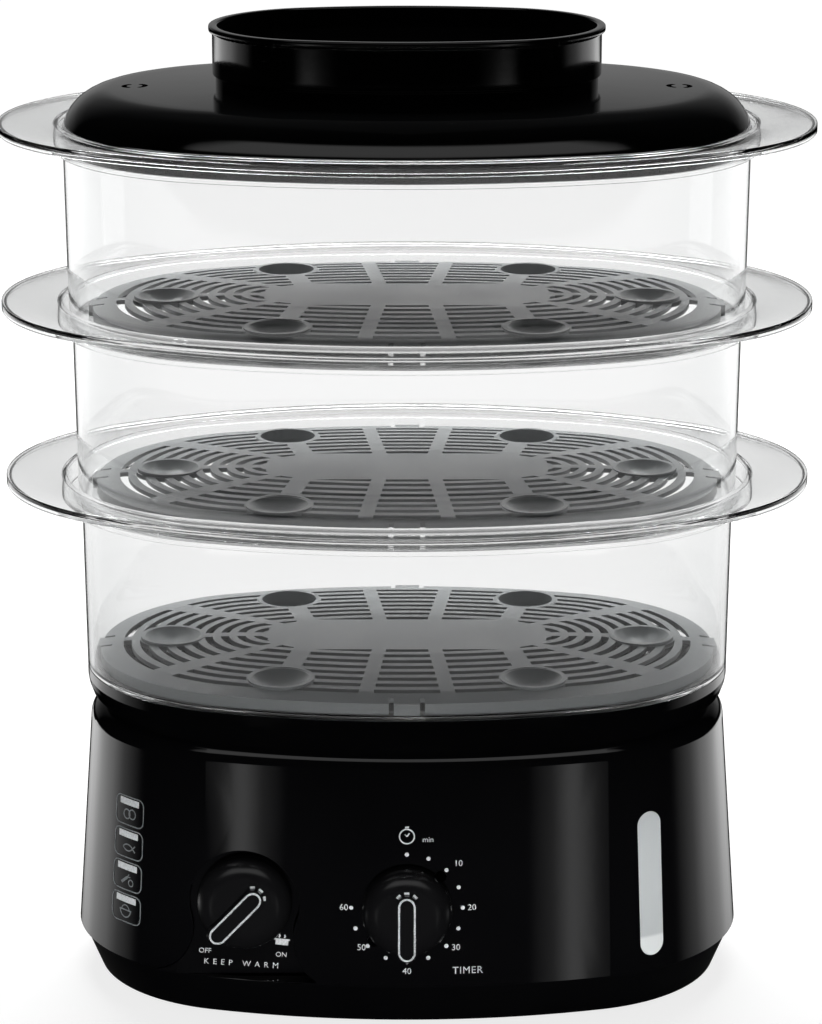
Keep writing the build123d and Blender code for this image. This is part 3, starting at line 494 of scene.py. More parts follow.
# Alloy sheath of the element: pale dull metal from its own heat.
SHEATH = plated_steel("element_alloy_sheath", ("#8f8d88", "#b3b1ab"), 0.42, 0.8)
# Zinc-plated steel of the screws, clamp, bell and shaft: cool bright grey.
ZINC = plated_steel("zinc_plated_steel", ("#a9adb1", "#c9ccd0"), 0.3, 0.6)
# Black-oxide steel of the screws beside the timer knob: nearly as dark as the housing.
BLACK_STEEL = plated_steel("black_oxide_steel", ("#121213", "#1d1d1f"), 0.38, 0.6)
CLEAR = clear_san()
WINDOW = frosted_window()
SLEEVE = woven_sleeve()
# White ink of the dial, and the light grey of the line and dashes on the knobs.
WHITE_INK = pad_print_ink("white_pad_print", ("#a0a2a4", "#c4c6c8"))
KNOB_LINE_GREY = pad_print_ink("knob_line_grey", ("#7d8082", "#b9bcbe"))
# Thin grey ink of the food signs.
GREY_INK = pad_print_ink("grey_pad_print", ("#54585a", "#6e7274"))

FINISHES = {
    "base_housing": GLOSS_BLACK,
    "bottom_cover": MATT_BLACK,
    "rubber_feet": RUBBER,
    "cover_screws": ZINC,
    "water_tank": TANK_PP,
    "heater_dish": STAINLESS,
    "heater_seal": SILICONE,
    "heating_element": SHEATH,
    "clamp_ring": ZINC,
    "clamp_screws": ZINC,
    "thermostat": PHENOLIC,
    "thermal_fuse": SLEEVE,
    "terminal_block": NYLON,
    "cable_gland": RUBBER,
    "level_window": WINDOW,
    "level_spigot": SILICONE,
    "timer_case": NYLON,
    "timer_bell": ZINC,
    "timer_screws": BLACK_STEEL,
    "timer_shaft": ZINC,
    "timer_knob": SATIN_BLACK,
    "keep_warm_bezel": MATT_BLACK,
    "keep_warm_switch": NYLON,
    "keep_warm_shaft": NYLON,
    "keep_warm_knob": SATIN_BLACK,
    "juice_tray": GLOSS_BLACK,
    "grate_1": GREY_PP,
    "grate_2": GREY_PP,
    "grate_3": GREY_PP,
    "lid": LID_BLACK,
    "lid_cup": LID_BLACK,
    "lid_screws": ZINC,
}
for node_name, finish in FINISHES.items():
    slots = NODES[node_name].material_slots
    if not slots:
        NODES[node_name].data.materials.append(finish)
    for slot in slots:
        slot.material = finish


# ------------------------------------------------------------ clear bowls


def oval_reach(half, grow, end_round, angle):
    """Distance from the middle to a four-arc oval, moved out by grow, along one direction.

    The end arc's radius is end, and the long side's is flank; they meet at the angle joint.
    """
    end = end_round * half[1]
    middle = half[0] - end
    flank = (middle**2 + half[1] ** 2 - end**2) / (2 * (half[1] - end))
    across, along = abs(math.sin(angle)), abs(math.cos(angle))
    joint = math.atan2((flank - half[1]) * (end + grow), middle * (flank + grow))
    if math.atan2(across, along) <= joint:
        near = middle * along
        return near + math.sqrt(near**2 - middle**2 + (end + grow) ** 2)
    near = -(flank - half[1]) * across
    return near + math.sqrt(near**2 - (flank - half[1]) ** 2 + (flank + grow) ** 2)


def soften(section, radius, steps=3):
    """Round each corner of a section; its points are (half x, half y, grow, end round, z)."""
    rounded = []
    count = len(section)
    for i, corner in enumerate(section):
        before, after = section[i - 1], section[(i + 1) % count]
        sides = []
        for other in (before, after):
            run = math.hypot(other[0] + other[2] - corner[0] - corner[2], other[4] - corner[4])
            share = min(radius / run, 0.4)
            sides.append([c + (o - c) * share for c, o in zip(corner, other)])
        for step in range(steps + 1):
            t = step / steps
            rounded.append(
                [
                    (1 - t) ** 2 * a + 2 * t * (1 - t) * c + t**2 * b
                    for a, c, b in zip(sides[0], corner, sides[1])
                ]
            )
    return rounded


def sweep_ovals(name, section, material, around=256, ring=True):
    """Wall swept through a row of ovals: a loop makes a ring, an open row is capped."""
    verts, faces = [], []
    for half_x, half_y, grow, end_round, z in section:
        for step in range(around):
            angle = 2 * math.pi * step / around
            reach = oval_reach((half_x, half_y), grow, end_round, angle)
            verts.append((reach * math.cos(angle) * MM, reach * math.sin(angle) * MM, z * MM))
    rows = len(section)
    for row in range(rows if ring else rows - 1):
        for step in range(around):
            a, b = row * around + step, row * around + (step + 1) % around
            c, d = (row + 1) % rows * around + step, (row + 1) % rows * around + (step + 1) % around
            faces.append((a, b, d, c))
    if not ring:
        faces.append(tuple(range(around))[::-1])
        faces.append(tuple(range((rows - 1) * around, rows * around)))
    piece = mesh_object(name, verts, faces, material, sharpest=50)
    shell = bmesh.new()
    shell.from_mesh(piece.data)
    if shell.calc_volume(signed=True) < 0:
        bmesh.ops.reverse_faces(shell, faces=shell.faces)
    shell.to_mesh(piece.data)
    shell.free()
    return piece


def clear_bowl(number):
    """Bowl, recessed well and wide flange in one clear moulding."""
    low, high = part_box("bowl_%d" % number)
    rim_low, rim_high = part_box("bowl_%d_flange" % number)
    foot, top, lip = low.z / MM, rim_high.z / MM, rim_low.z / MM
    rim = (rim_high.x / MM, rim_high.y / MM)
    step = (3 - number) * NEST_STEP
    wall = (TOP_BOWL_HALF[0] - step, TOP_BOWL_HALF[1] - step)
    seat = top - WELL_DEPTH
    foot += AIR_GAP
    section = [
        (*GRATE_HALF, -GRATE_SEAT, END_ROUND, foot),
        (*wall, -BOWL_DRAFT, END_ROUND, foot),
        (*wall, 0.0, END_ROUND, seat - BOWL_WALL),
        (*WELL_HALF, BOWL_WALL, END_ROUND, seat - BOWL_WALL),
        (*WELL_HALF, BOWL_WALL, END_ROUND, top - FLANGE_THICK),
        (*rim, -BOWL_WALL, FLANGE_END_ROUND, top - FLANGE_THICK),
        (*rim, -BOWL_WALL, FLANGE_END_ROUND, lip),
        (*rim, 0.0, FLANGE_END_ROUND, lip),
        (*rim, 0.0, FLANGE_END_ROUND, top),
        (*WELL_HALF, 0.0, END_ROUND, top),
        (*WELL_HALF, 0.0, END_ROUND, seat - AIR_GAP),
        (*wall, -BOWL_WALL, END_ROUND, seat - AIR_GAP),
        (*wall, -BOWL_DRAFT - BOWL_WALL, END_ROUND, foot + LEDGE_THICK - 2 * AIR_GAP),
        (*GRATE_HALF, -GRATE_SEAT, END_ROUND, foot + LEDGE_THICK - 2 * AIR_GAP),
    ]
    piece = sweep_ovals("clear_bowl_%d" % number, soften(section, 0.6), CLEAR)
    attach(piece, BOWLS[number])
    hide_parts("bowl_%d" % number, "bowl_%d_flange" % number)


for tier in BOWLS:
    clear_bowl(tier)


# ------------------------------------------------------------ lid and cup


def bent_slot_outline(middle, steps=14):
    """Outline of one slot bent round the vent's centre, with round ends; middle is in degrees."""
    half = VENT_WIDTH / 2
    bend = [
        math.radians(middle - VENT_SWEEP / 2 + VENT_SWEEP * step / steps)
        for step in range(steps + 1)
    ]
    outer = [((VENT_RADIUS + half) * math.cos(t), (VENT_RADIUS + half) * math.sin(t)) for t in bend]
    inner = [((VENT_RADIUS - half) * math.cos(t), (VENT_RADIUS - half) * math.sin(t)) for t in bend]
    ends = []
    for pivot, mate in ((outer[-1], inner[-1]), (inner[0], outer[0])):
        centre = ((pivot[0] + mate[0]) / 2, (pivot[1] + mate[1]) / 2)
        first = math.degrees(math.atan2(pivot[1] - centre[1], pivot[0] - centre[0]))
        ends.append(arc(half, first, first + 180, 6, centre)[1:-1])
    return outer + ends[0] + inner[::-1] + ends[1]


def vent_cutter(low, high):
    """Prisms that cut the two bent slots of each steam vent."""
    verts, faces = [], []
    for side in (-1, 1):
        for middle in (0.0, 180.0):
            start = len(verts)
            outline = bent_slot_outline(middle)
            count = len(outline)
            for level in (low, high):
                verts += [((side * VENT_X + x) * MM, y * MM, level * MM) for x, y in outline]
            faces.append(tuple(start + i for i in range(count))[::-1])
            faces.append(tuple(start + count + i for i in range(count)))
            for i in range(count):
                j = (i + 1) % count
                faces.append((start + i, start + j, start + count + j, start + count + i))
    return mesh_object("vent_cutter", verts, faces, LID_BLACK)


def lid_shell():
    """Pillow-shaped lid with a hollow underside, cut by the steam vents."""
    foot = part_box("lid")[0].z / MM + AIR_GAP
    top_half = (LID_HALF[0] - LID_SHOULDER, LID_HALF[1] - LID_SHOULDER)
    top_round = (END_ROUND * LID_HALF[1] - LID_SHOULDER) / top_half[1]
    shares = (0.04, 0.15, 0.3, 0.45, 0.6, 0.7, 0.8, 0.88, 0.95)
    edge_z = LID_TOP_Z - LID_DOME
    spring_z = edge_z - LID_SHOULDER
    section = [
        (top_half[0] * k, top_half[1] * k, 0.0, top_round, LID_TOP_Z - LID_DOME * k**2)
        for k in shares
    ]
    bends = [math.radians(7.5 * i) for i in range(13)]
    for bend in bends:
        grow = -LID_SHOULDER * (1 - math.sin(bend))
        section.append((*LID_HALF, grow, END_ROUND, spring_z + LID_SHOULDER * math.cos(bend)))
    section.append((*LID_HALF, -0.3, END_ROUND, foot))
    section.append((*LID_HALF, -LID_WALL, END_ROUND, foot))
    inner_rise = LID_CEILING_Z - spring_z
    for bend in bends[::-1]:
        grow = -LID_SHOULDER + (LID_SHOULDER - LID_WALL) * math.sin(bend)
        section.append((*LID_HALF, grow, END_ROUND, spring_z + inner_rise * math.cos(bend)))
    for k in shares[::-1]:
        section.append((top_half[0] * k, top_half[1] * k, 0.0, top_round, LID_CEILING_Z))
    piece = sweep_ovals("lid_shell", section, LID_BLACK, ring=False)
    cutter = vent_cutter(LID_CEILING_Z - 12, LID_TOP_Z + 6)
    cut = piece.modifiers.new("vents", "BOOLEAN")
    cut.operation = "DIFFERENCE"
    cut.solver = "EXACT"
    cut.object = cutter
    vented = evaluated_mesh(piece)
    piece.modifiers.clear()
    piece.data = vented
    shade_round(vented, 40)
    bpy.data.objects.remove(cutter)
    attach(piece, "cover")
    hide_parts("lid")


def cup_shell():
    """Open oval cup with a rolled lip, a step above its foot and four screw bosses on its floor."""
    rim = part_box("lid_cup")[1].z / MM - AIR_GAP
    foot_z = LID_TOP_Z - 1.0
    foot = (CUP_HALF[0] - CUP_STEP, CUP_HALF[1] - CUP_STEP)
    shares = (0.04, 0.3, 0.6, 0.85)
    section = [(foot[0] * k, foot[1] * k, 0.0, CUP_END_ROUND, foot_z) for k in shares]
    wall = [
        (*foot, 0.0, CUP_END_ROUND, foot_z),
        (*foot, 0.0, CUP_END_ROUND, CUP_STEP_Z - 0.4),
        (*CUP_HALF, 0.0, CUP_END_ROUND, CUP_STEP_Z),
        (*CUP_HALF, 0.0, CUP_END_ROUND, rim - CUP_LIP_TALL - 0.4),
        (*CUP_HALF, CUP_LIP, CUP_END_ROUND, rim - CUP_LIP_TALL),
        (*CUP_HALF, CUP_LIP, CUP_END_ROUND, rim),
        (*CUP_HALF, -CUP_WALL, CUP_END_ROUND, rim),
        (*CUP_HALF, -CUP_WALL - CUP_STEP, CUP_END_ROUND, CUP_FLOOR_Z),
    ]
    rounded = soften(wall, 0.7)
    section += [wall[0]] + rounded[4:-4] + [wall[-1]]
    floor = (CUP_HALF[0] - CUP_WALL - CUP_STEP, CUP_HALF[1] - CUP_WALL - CUP_STEP)
    section += [
        (floor[0] * k, floor[1] * k, 0.0, CUP_END_ROUND, CUP_FLOOR_Z) for k in shares[::-1]
    ]
    piece = sweep_ovals("cup_shell", section, LID_BLACK, ring=False)
    bosses = bmesh.new()
    bosses.from_mesh(piece.data)
    boss_low, boss_high = CUP_FLOOR_Z - 1.0, CUP_FLOOR_Z + BOSS_TALL
    for x, y in CUP_SCREWS:
        made = bmesh.ops.create_cone(
            bosses,
            cap_ends=True,
            segments=32,
            radius1=(BOSS_RADIUS + 0.2) * MM,
            radius2=BOSS_RADIUS * MM,
            depth=(boss_high - boss_low) * MM,
        )
        middle = Vector((x, y, (boss_low + boss_high) / 2)) * MM
        bmesh.ops.translate(bosses, verts=made["verts"], vec=middle)
    bosses.to_mesh(piece.data)
    bosses.free()
    shade_round(piece.data, 40)
    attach(piece, "cover")
    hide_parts("lid_cup")


lid_shell()
cup_shell()


# ------------------------------------------------------------ printed marks


def surface_of(*names):
    """One searchable surface from CAD nodes."""
    verts, faces = [], []
    for name in names:
        start = len(verts)
        mesh = NODES[name].data
        verts += [v.co.copy() for v in mesh.vertices]
        faces += [[start + i for i in p.vertices] for p in mesh.polygons]
    return BVHTree.FromPolygons(verts, faces)


FRONT = surface_of("base_housing", "keep_warm_bezel")
INK_LIFT = 0.05
INK_THICK = 0.06
# Height of a capital as a share of the typeface's size.
CAPITAL_SHARE = 0.7


def on_front(x, z):
    """Point just proud of the front, straight behind (x, z) as seen from the front."""
    hit, normal, _, _ = FRONT.ray_cast(Vector((x * MM, -0.3, z * MM)), Vector((0, 1, 0)))
    return hit + normal * INK_LIFT * MM


def end_radius(z):
    """Radius of the base's round ends at a height: the walls lean in as they rise."""
    return END_ROUND * BASE_HALF[1] - BASE_SLOPE * (z - BASE_FOOT_Z)


def on_left_end(turn, z):
    """Point just proud of the round left end; turn is the angle from straight forwards."""
    radius = end_radius(z) + INK_LIFT
    x = END_ROUND * BASE_HALF[1] - BASE_HALF[0] - radius * math.sin(turn)
    return Vector((x, -radius * math.cos(turn), z)) * MM


def plate(name, flat, place, material, body):
    """Film of ink: flat outlines laid on a surface, then given the thickness of the print."""
    verts, faces = flat
    piece = mesh_object(name, [place(u, v) for u, v in verts], faces, material)
    shell = bmesh.new()
    shell.from_mesh(piece.data)
    bmesh.ops.remove_doubles(shell, verts=shell.verts, dist=1e-6)
    shell.to_mesh(piece.data)
    shell.free()
    film = piece.modifiers.new("film", "SOLIDIFY")
    film.thickness = INK_THICK * MM
    film.offset = 1.0
    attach(piece, body)


def join_flat(*flats):
    """Several flat outlines as one; each is its vertices (u, v) and its faces."""
    verts, faces = [], []
    for more_verts, more_faces in flats:
        start = len(verts)
        verts += list(more_verts)
        faces += [tuple(start + i for i in face) for face in more_faces]
    return verts, faces


def moved(flat, du=0.0, dv=0.0, turn=0.0, grow=1.0):
    """Flat outline grown, turned by radians, then moved."""
    c, s = math.cos(turn) * grow, math.sin(turn) * grow
    return [(c * u - s * v + du, s * u + c * v + dv) for u, v in flat[0]], flat[1]


def stroke(points, width, closed=False):
    """Line of even width through points, seen from the front."""
    verts, faces = [], []
    count = len(points)
    for i, (u, v) in enumerate(points):
        before = points[i - 1] if closed or i else points[i]
        after = points[(i + 1) % count] if closed or i + 1 < count else points[i]
        along = math.atan2(after[1] - before[1], after[0] - before[0])
        side = (-math.sin(along) * width / 2, math.cos(along) * width / 2)
        verts += [(u + side[0], v + side[1]), (u - side[0], v - side[1])]
    for i in range(count if closed else count - 1):
        a, b = 2 * i, 2 * ((i + 1) % count)
        faces.append((a, a + 1, b + 1, b))
    return verts, faces


def rounded_frame(width, height, radius, steps=6):
    """Points round a rectangle with round corners, with extra points along its long sides."""
    points = []
    corners = ((1, 1, 0), (-1, 1, 90), (-1, -1, 180), (1, -1, 270))
    for side, up, start in corners:
        centre = (side * (width / 2 - radius), up * (height / 2 - radius))
        points += arc(radius, start, start + 90, steps, centre)
        if start in (0, 180):
            run = width - 2 * radius
            points += [
                (centre[0] - side * run * i / 8, centre[1] + up * radius) for i in range(1, 8)
            ]
    return points


def flat_of(holder):
    """Flat outline of what a helper object makes; the object is removed."""
    bpy.context.scene.collection.objects.link(holder)
    mesh = evaluated_mesh(holder)
    verts = [(v.co.x, v.co.y) for v in mesh.vertices]
    faces = [tuple(p.vertices) for p in mesh.polygons]
    bpy.data.objects.remove(holder)
    bpy.data.meshes.remove(mesh)
    return verts, faces


def letters(text, height, spacing=1.0):
    """Words and numbers in the plain built-in typeface, centred; height is a capital's."""
    curve = bpy.data.curves.new("letters", "FONT")
    curve.body = text
    curve.size = height / CAPITAL_SHARE
    curve.align_x = "CENTER"
    curve.align_y = "CENTER"
    curve.resolution_u = 3
    curve.space_character = spacing
    flat = flat_of(bpy.data.objects.new("letters", curve))
    bpy.data.curves.remove(curve)
    return flat


def dot_ring_tree():
    """Geometry nodes that put a small disc at each step round part of a circle."""
    tree = bpy.data.node_groups.new("dots_round_dial", "GeometryNodeTree")
    sockets = (
        ("Dots", "NodeSocketInt", DIAL_DOTS),
        ("Ring Radius", "NodeSocketFloat", DIAL_RING),
        ("First Angle", "NodeSocketFloat", 90.0),
        ("Sweep", "NodeSocketFloat", -270.0),
        ("Dot Radius", "NodeSocketFloat", DIAL_DOT),
        ("Ink", "NodeSocketMaterial", None),
    )
    for name, kind, value in sockets:
        socket = tree.interface.new_socket(name, in_out="INPUT", socket_type=kind)
        if value is not None:
            socket.default_value = value
    tree.interface.new_socket("Geometry", in_out="OUTPUT", socket_type="NodeSocketGeometry")
    given = add(tree, "NodeGroupInput")
    row = add(
        tree,
        "GeometryNodeMeshLine",
        {"mode": "OFFSET"},
        {"Count": given.outputs["Dots"], "Offset": (0.0, 0.0, 0.0)},
    )
    index = add(tree, "GeometryNodeInputIndex")
    gaps = add(
        tree, "ShaderNodeMath", {"operation": "SUBTRACT"}, {0: given.outputs["Dots"], 1: 1.0}
    )
    share = add(
        tree,
        "ShaderNodeMath",
        {"operation": "DIVIDE"},
        {0: index.outputs["Index"], 1: gaps.outputs[0]},
    )
    angle = add(
        tree,
        "ShaderNodeMath",
        {"operation": "MULTIPLY_ADD"},
        {0: share.outputs[0], 1: given.outputs["Sweep"], 2: given.outputs["First Angle"]},
    )
    turn = add(tree, "ShaderNodeMath", {"operation": "RADIANS"}, {0: angle.outputs[0]})
    across = add(tree, "ShaderNodeMath", {"operation": "COSINE"}, {0: turn.outputs[0]})
    up = add(tree, "ShaderNodeMath", {"operation": "SINE"}, {0: turn.outputs[0]})
    direction = add(
        tree, "ShaderNodeCombineXYZ", inputs={"X": across.outputs[0], "Y": up.outputs[0]}
    )
    place = add(
        tree,
        "ShaderNodeVectorMath",
        {"operation": "SCALE"},
        {"Vector": direction.outputs[0], "Scale": given.outputs["Ring Radius"]},
    )
    ring = add(
        tree,
        "GeometryNodeSetPosition",
        inputs={"Geometry": row.outputs["Mesh"], "Position": place.outputs["Vector"]},
    )
    dot = add(
        tree,
        "GeometryNodeMeshCircle",
        {"fill_type": "TRIANGLE_FAN"},
        {"Vertices": 16, "Radius": given.outputs["Dot Radius"]},
    )
    dots = add(
        tree,
        "GeometryNodeInstanceOnPoints",
        inputs={"Points": ring.outputs["Geometry"], "Instance": dot.outputs["Mesh"]},
    )
    real = add(tree, "GeometryNodeRealizeInstances", inputs={"Geometry": dots.outputs["Instances"]})
    inked = add(
        tree,
        "GeometryNodeSetMaterial",
        inputs={"Geometry": real.outputs["Geometry"], "Material": given.outputs["Ink"]},
    )
    add(tree, "NodeGroupOutput", inputs={"Geometry": inked.outputs["Geometry"]})
    return tree


def grown_flat(tree, values):
    """Run a Geometry Nodes tree once and return its flat vertices and faces."""
    holder = bpy.data.objects.new("holder", bpy.data.meshes.new("holder"))
    grower = holder.modifiers.new("grow", "NODES")
    grower.node_group = tree
    for item in tree.interface.items_tree:
        if item.in_out == "INPUT" and item.name in values:
            grower[item.identifier] = values[item.name]
    return flat_of(holder)


DOT_RING = dot_ring_tree()


def timer_dial():
    """Thirteen dots over three quarters of a turn, minutes beside them, and a clock sign."""
    marks = [
        grown_flat(
            DOT_RING,
            {"Dots": DIAL_DOTS, "Ring Radius": DIAL_RING, "Dot Radius": DIAL_DOT, "Ink": WHITE_INK},
        )
    ]
    for number, across, up in MINUTES:
        marks.append(moved(letters(number, MINUTES_TALL), across, up))
    clock = join_flat(
        stroke(arc(CLOCK_RADIUS, 0, 360, 28)[:-1], 0.6, closed=True),
        stroke([(0.0, 0.0), (1.1, 1.5)], 0.55),
        stroke([(0.0, 0.0), (-1.0, 1.0)], 0.45),
        stroke([(-0.9, 4.2), (0.9, 4.2)], 0.9),
    )
    marks.append(moved(clock, 0.0, CLOCK_UP))
    marks.append(moved(letters("min", 2.4), 9.4, CLOCK_UP - 1.5))
    marks.append(moved(letters("TIMER", 3.2, 1.12), 27.2, -29.2))

    def place(u, v):
        return on_front(TIMER_AT[0] + u, TIMER_AT[1] + v)

    plate("timer_dial_print", join_flat(*marks), place, WHITE_INK, "base")


def keep_warm_marks():
    """Off and on at the ends of the switch's turn, a steaming dish, and what the switch does."""
    dish = join_flat(
        stroke([(-3.4, -0.8), (3.4, -0.8)], 2.6),
        stroke([(-4.2, 0.9), (4.2, 0.9)], 0.8),
        stroke([(-1.8, 1.9), (-1.3, 2.8), (-1.8, 3.7)], 0.8),
        stroke([(1.0, 1.9), (1.5, 2.8), (1.0, 3.7)], 0.8),
    )
    marks = [
        moved(dish, 16.6, -19.8, turn=-0.1, grow=0.85),
        moved(letters("OFF", 2.3), -18.2, -24.2, turn=-0.05),
        moved(letters("ON", 2.3), 16.2, -26.2, turn=-0.07),
        moved(letters("KEEP WARM", 2.6, 1.9), -1.9, -30.3, turn=-0.07),
    ]

    def place(u, v):
        return on_front(KEEP_WARM_AT[0] + u, KEEP_WARM_AT[1] + v)

    plate("keep_warm_print", join_flat(*marks), place, WHITE_INK, "base")


def menu_marks():
    """Four framed food signs up the left end: eggs, fish, vegetables and rice."""
    signs = (
        join_flat(
            moved(stroke(arc(2.2, 0, 360, 18)[:-1], 0.6, closed=True), -1.4, -1.6),
            moved(stroke(arc(2.2, 0, 360, 18)[:-1], 0.6, closed=True), 2.2, -1.2),
        ),
        join_flat(
            stroke(arc(4.2, 40, 140, 10, (0, -4.6)), 0.6),
            stroke(arc(4.2, 220, 320, 10, (0, 0.8)), 0.6),
            stroke([(3.1, -1.9), (4.9, -0.4)], 0.6),
            stroke([(3.1, -1.9), (4.9, -3.4)], 0.6),
        ),
        join_flat(
            stroke([(-3.4, -3.6), (0.4, -0.6)], 1.3),
            stroke([(0.4, -0.6), (1.6, 1.0)], 0.5),
            stroke([(0.4, -0.6), (2.4, -0.2)], 0.5),
            moved(stroke(arc(1.5, 0, 360, 12)[:-1], 0.5, closed=True), 2.9, -2.9),
        ),
        join_flat(
            stroke(arc(3.4, 180, 360, 12, (0, -0.9)), 0.6),
            stroke([(-3.9, -0.9), (3.9, -0.9)], 0.6),
            stroke(arc(2.6, 15, 165, 10, (0, -1.2)), 0.5),
        ),
    )
    line_work, label_bars = [], []
    for row, sign in enumerate(signs):
        up = (1.5 - row) * SIGN_PITCH
        frame_line = stroke(rounded_frame(SIGN_WIDE, SIGN_TALL, SIGN_CORNER), 0.55, closed=True)
        line_work.append(moved(frame_line, 0, up))
        line_work.append(moved(sign, 0, up))
        bar = [(-6.5 + 1.3 * i, 4.2) for i in range(11)]
        label_bars.append(moved(stroke(bar, 3.0), 0, up))

    def place(u, v):
        return on_left_end(math.radians(SIGNS_TURN) - u / end_radius(SIGNS_Z), SIGNS_Z + v)

    plate("menu_signs", join_flat(*line_work), place, GREY_INK, "base")
    plate("menu_label_bars", join_flat(*label_bars), place, WHITE_INK, "base")


def facing(centre_x, centre_y, centre_z, spin=0.0):
    """Middle of a dial and its ways right, up the tilted wall and outwards; spin is radians."""
    out = Vector((0, -math.cos(DIAL_TILT), math.sin(DIAL_TILT)))
    right = Vector((1, 0, 0))
    up = out.cross(right)
    turned_right = right * math.cos(spin) + up * math.sin(spin)
    turned_up = up * math.cos(spin) - right * math.sin(spin)
    origin = Vector((centre_x, centre_y, centre_z)) * MM
    return origin, turned_right, turned_up, out


def knob_lines(name, node_name, body, origin_frame, radius):
    """Light grey line just inside the grip's top edge, and three short dashes past its round end.
    """
    origin, right, up, out = origin_frame
    skin = surface_of(node_name)
    half, tip, tail = GRIP_HALF - LINE_INSET, GRIP_TIP - LINE_INSET, -radius + 2.0
    line = [(-half, tail + 2.2), (-half, -8.0), (-half, 0.0), (-half, tip - 3.2)]
    line += arc(3.3, 160, 20, 8, (0.0, tip - 3.2))
    line += [(half, tip - 3.2), (half, 0.0), (half, -8.0), (half, tail + 2.2)]
    line += arc(3.2, -25, -155, 8, (0.0, tail + 2.6))
    # A thin light grey film laid along the grip's edge, inset from it, and three dashes past its
    # round end.
    marks = [stroke(line, 0.85, closed=True)]
    dash = stroke([(-1.1, 0.0), (0.0, 0.0), (1.1, 0.0)], 1.0)
    for degrees in (45, 90, 135):
        turn = math.radians(degrees)
        spot = (5.3 * math.cos(turn), tip - 3.4 + 5.2 * math.sin(turn))
        marks.append(moved(dash, *spot, turn - math.pi / 2))

    def place(u, v):
        start = origin + (right * u + up * v + out * 60) * MM
        hit, normal, _, _ = skin.ray_cast(start, -out)
        return hit + normal * INK_LIFT * MM

    plate(name, join_flat(*marks), place, KNOB_LINE_GREY, body)


timer_dial()
keep_warm_marks()
menu_marks()
knob_lines(
    "timer_knob_lines",
    "timer_knob",
    "timer_dial",
    facing(TIMER_AT[0], TIMER_FACE_Y, TIMER_AT[1]),
    TIMER_KNOB_RADIUS,
)
knob_lines(
    "keep_warm_knob_lines",
    "keep_warm_knob",
    "keep_warm_dial",
    facing(
        KEEP_WARM_AT[0], KEEP_WARM_FACE_Y, KEEP_WARM_AT[1], math.radians(KEEP_WARM_REST_TURN)
    ),
    KEEP_WARM_KNOB_RADIUS,
)


# ------------------------------------------------------------ studio


# Brightness that a patch of the sky has at a share of 1.
FULL_BRIGHT = 6.0


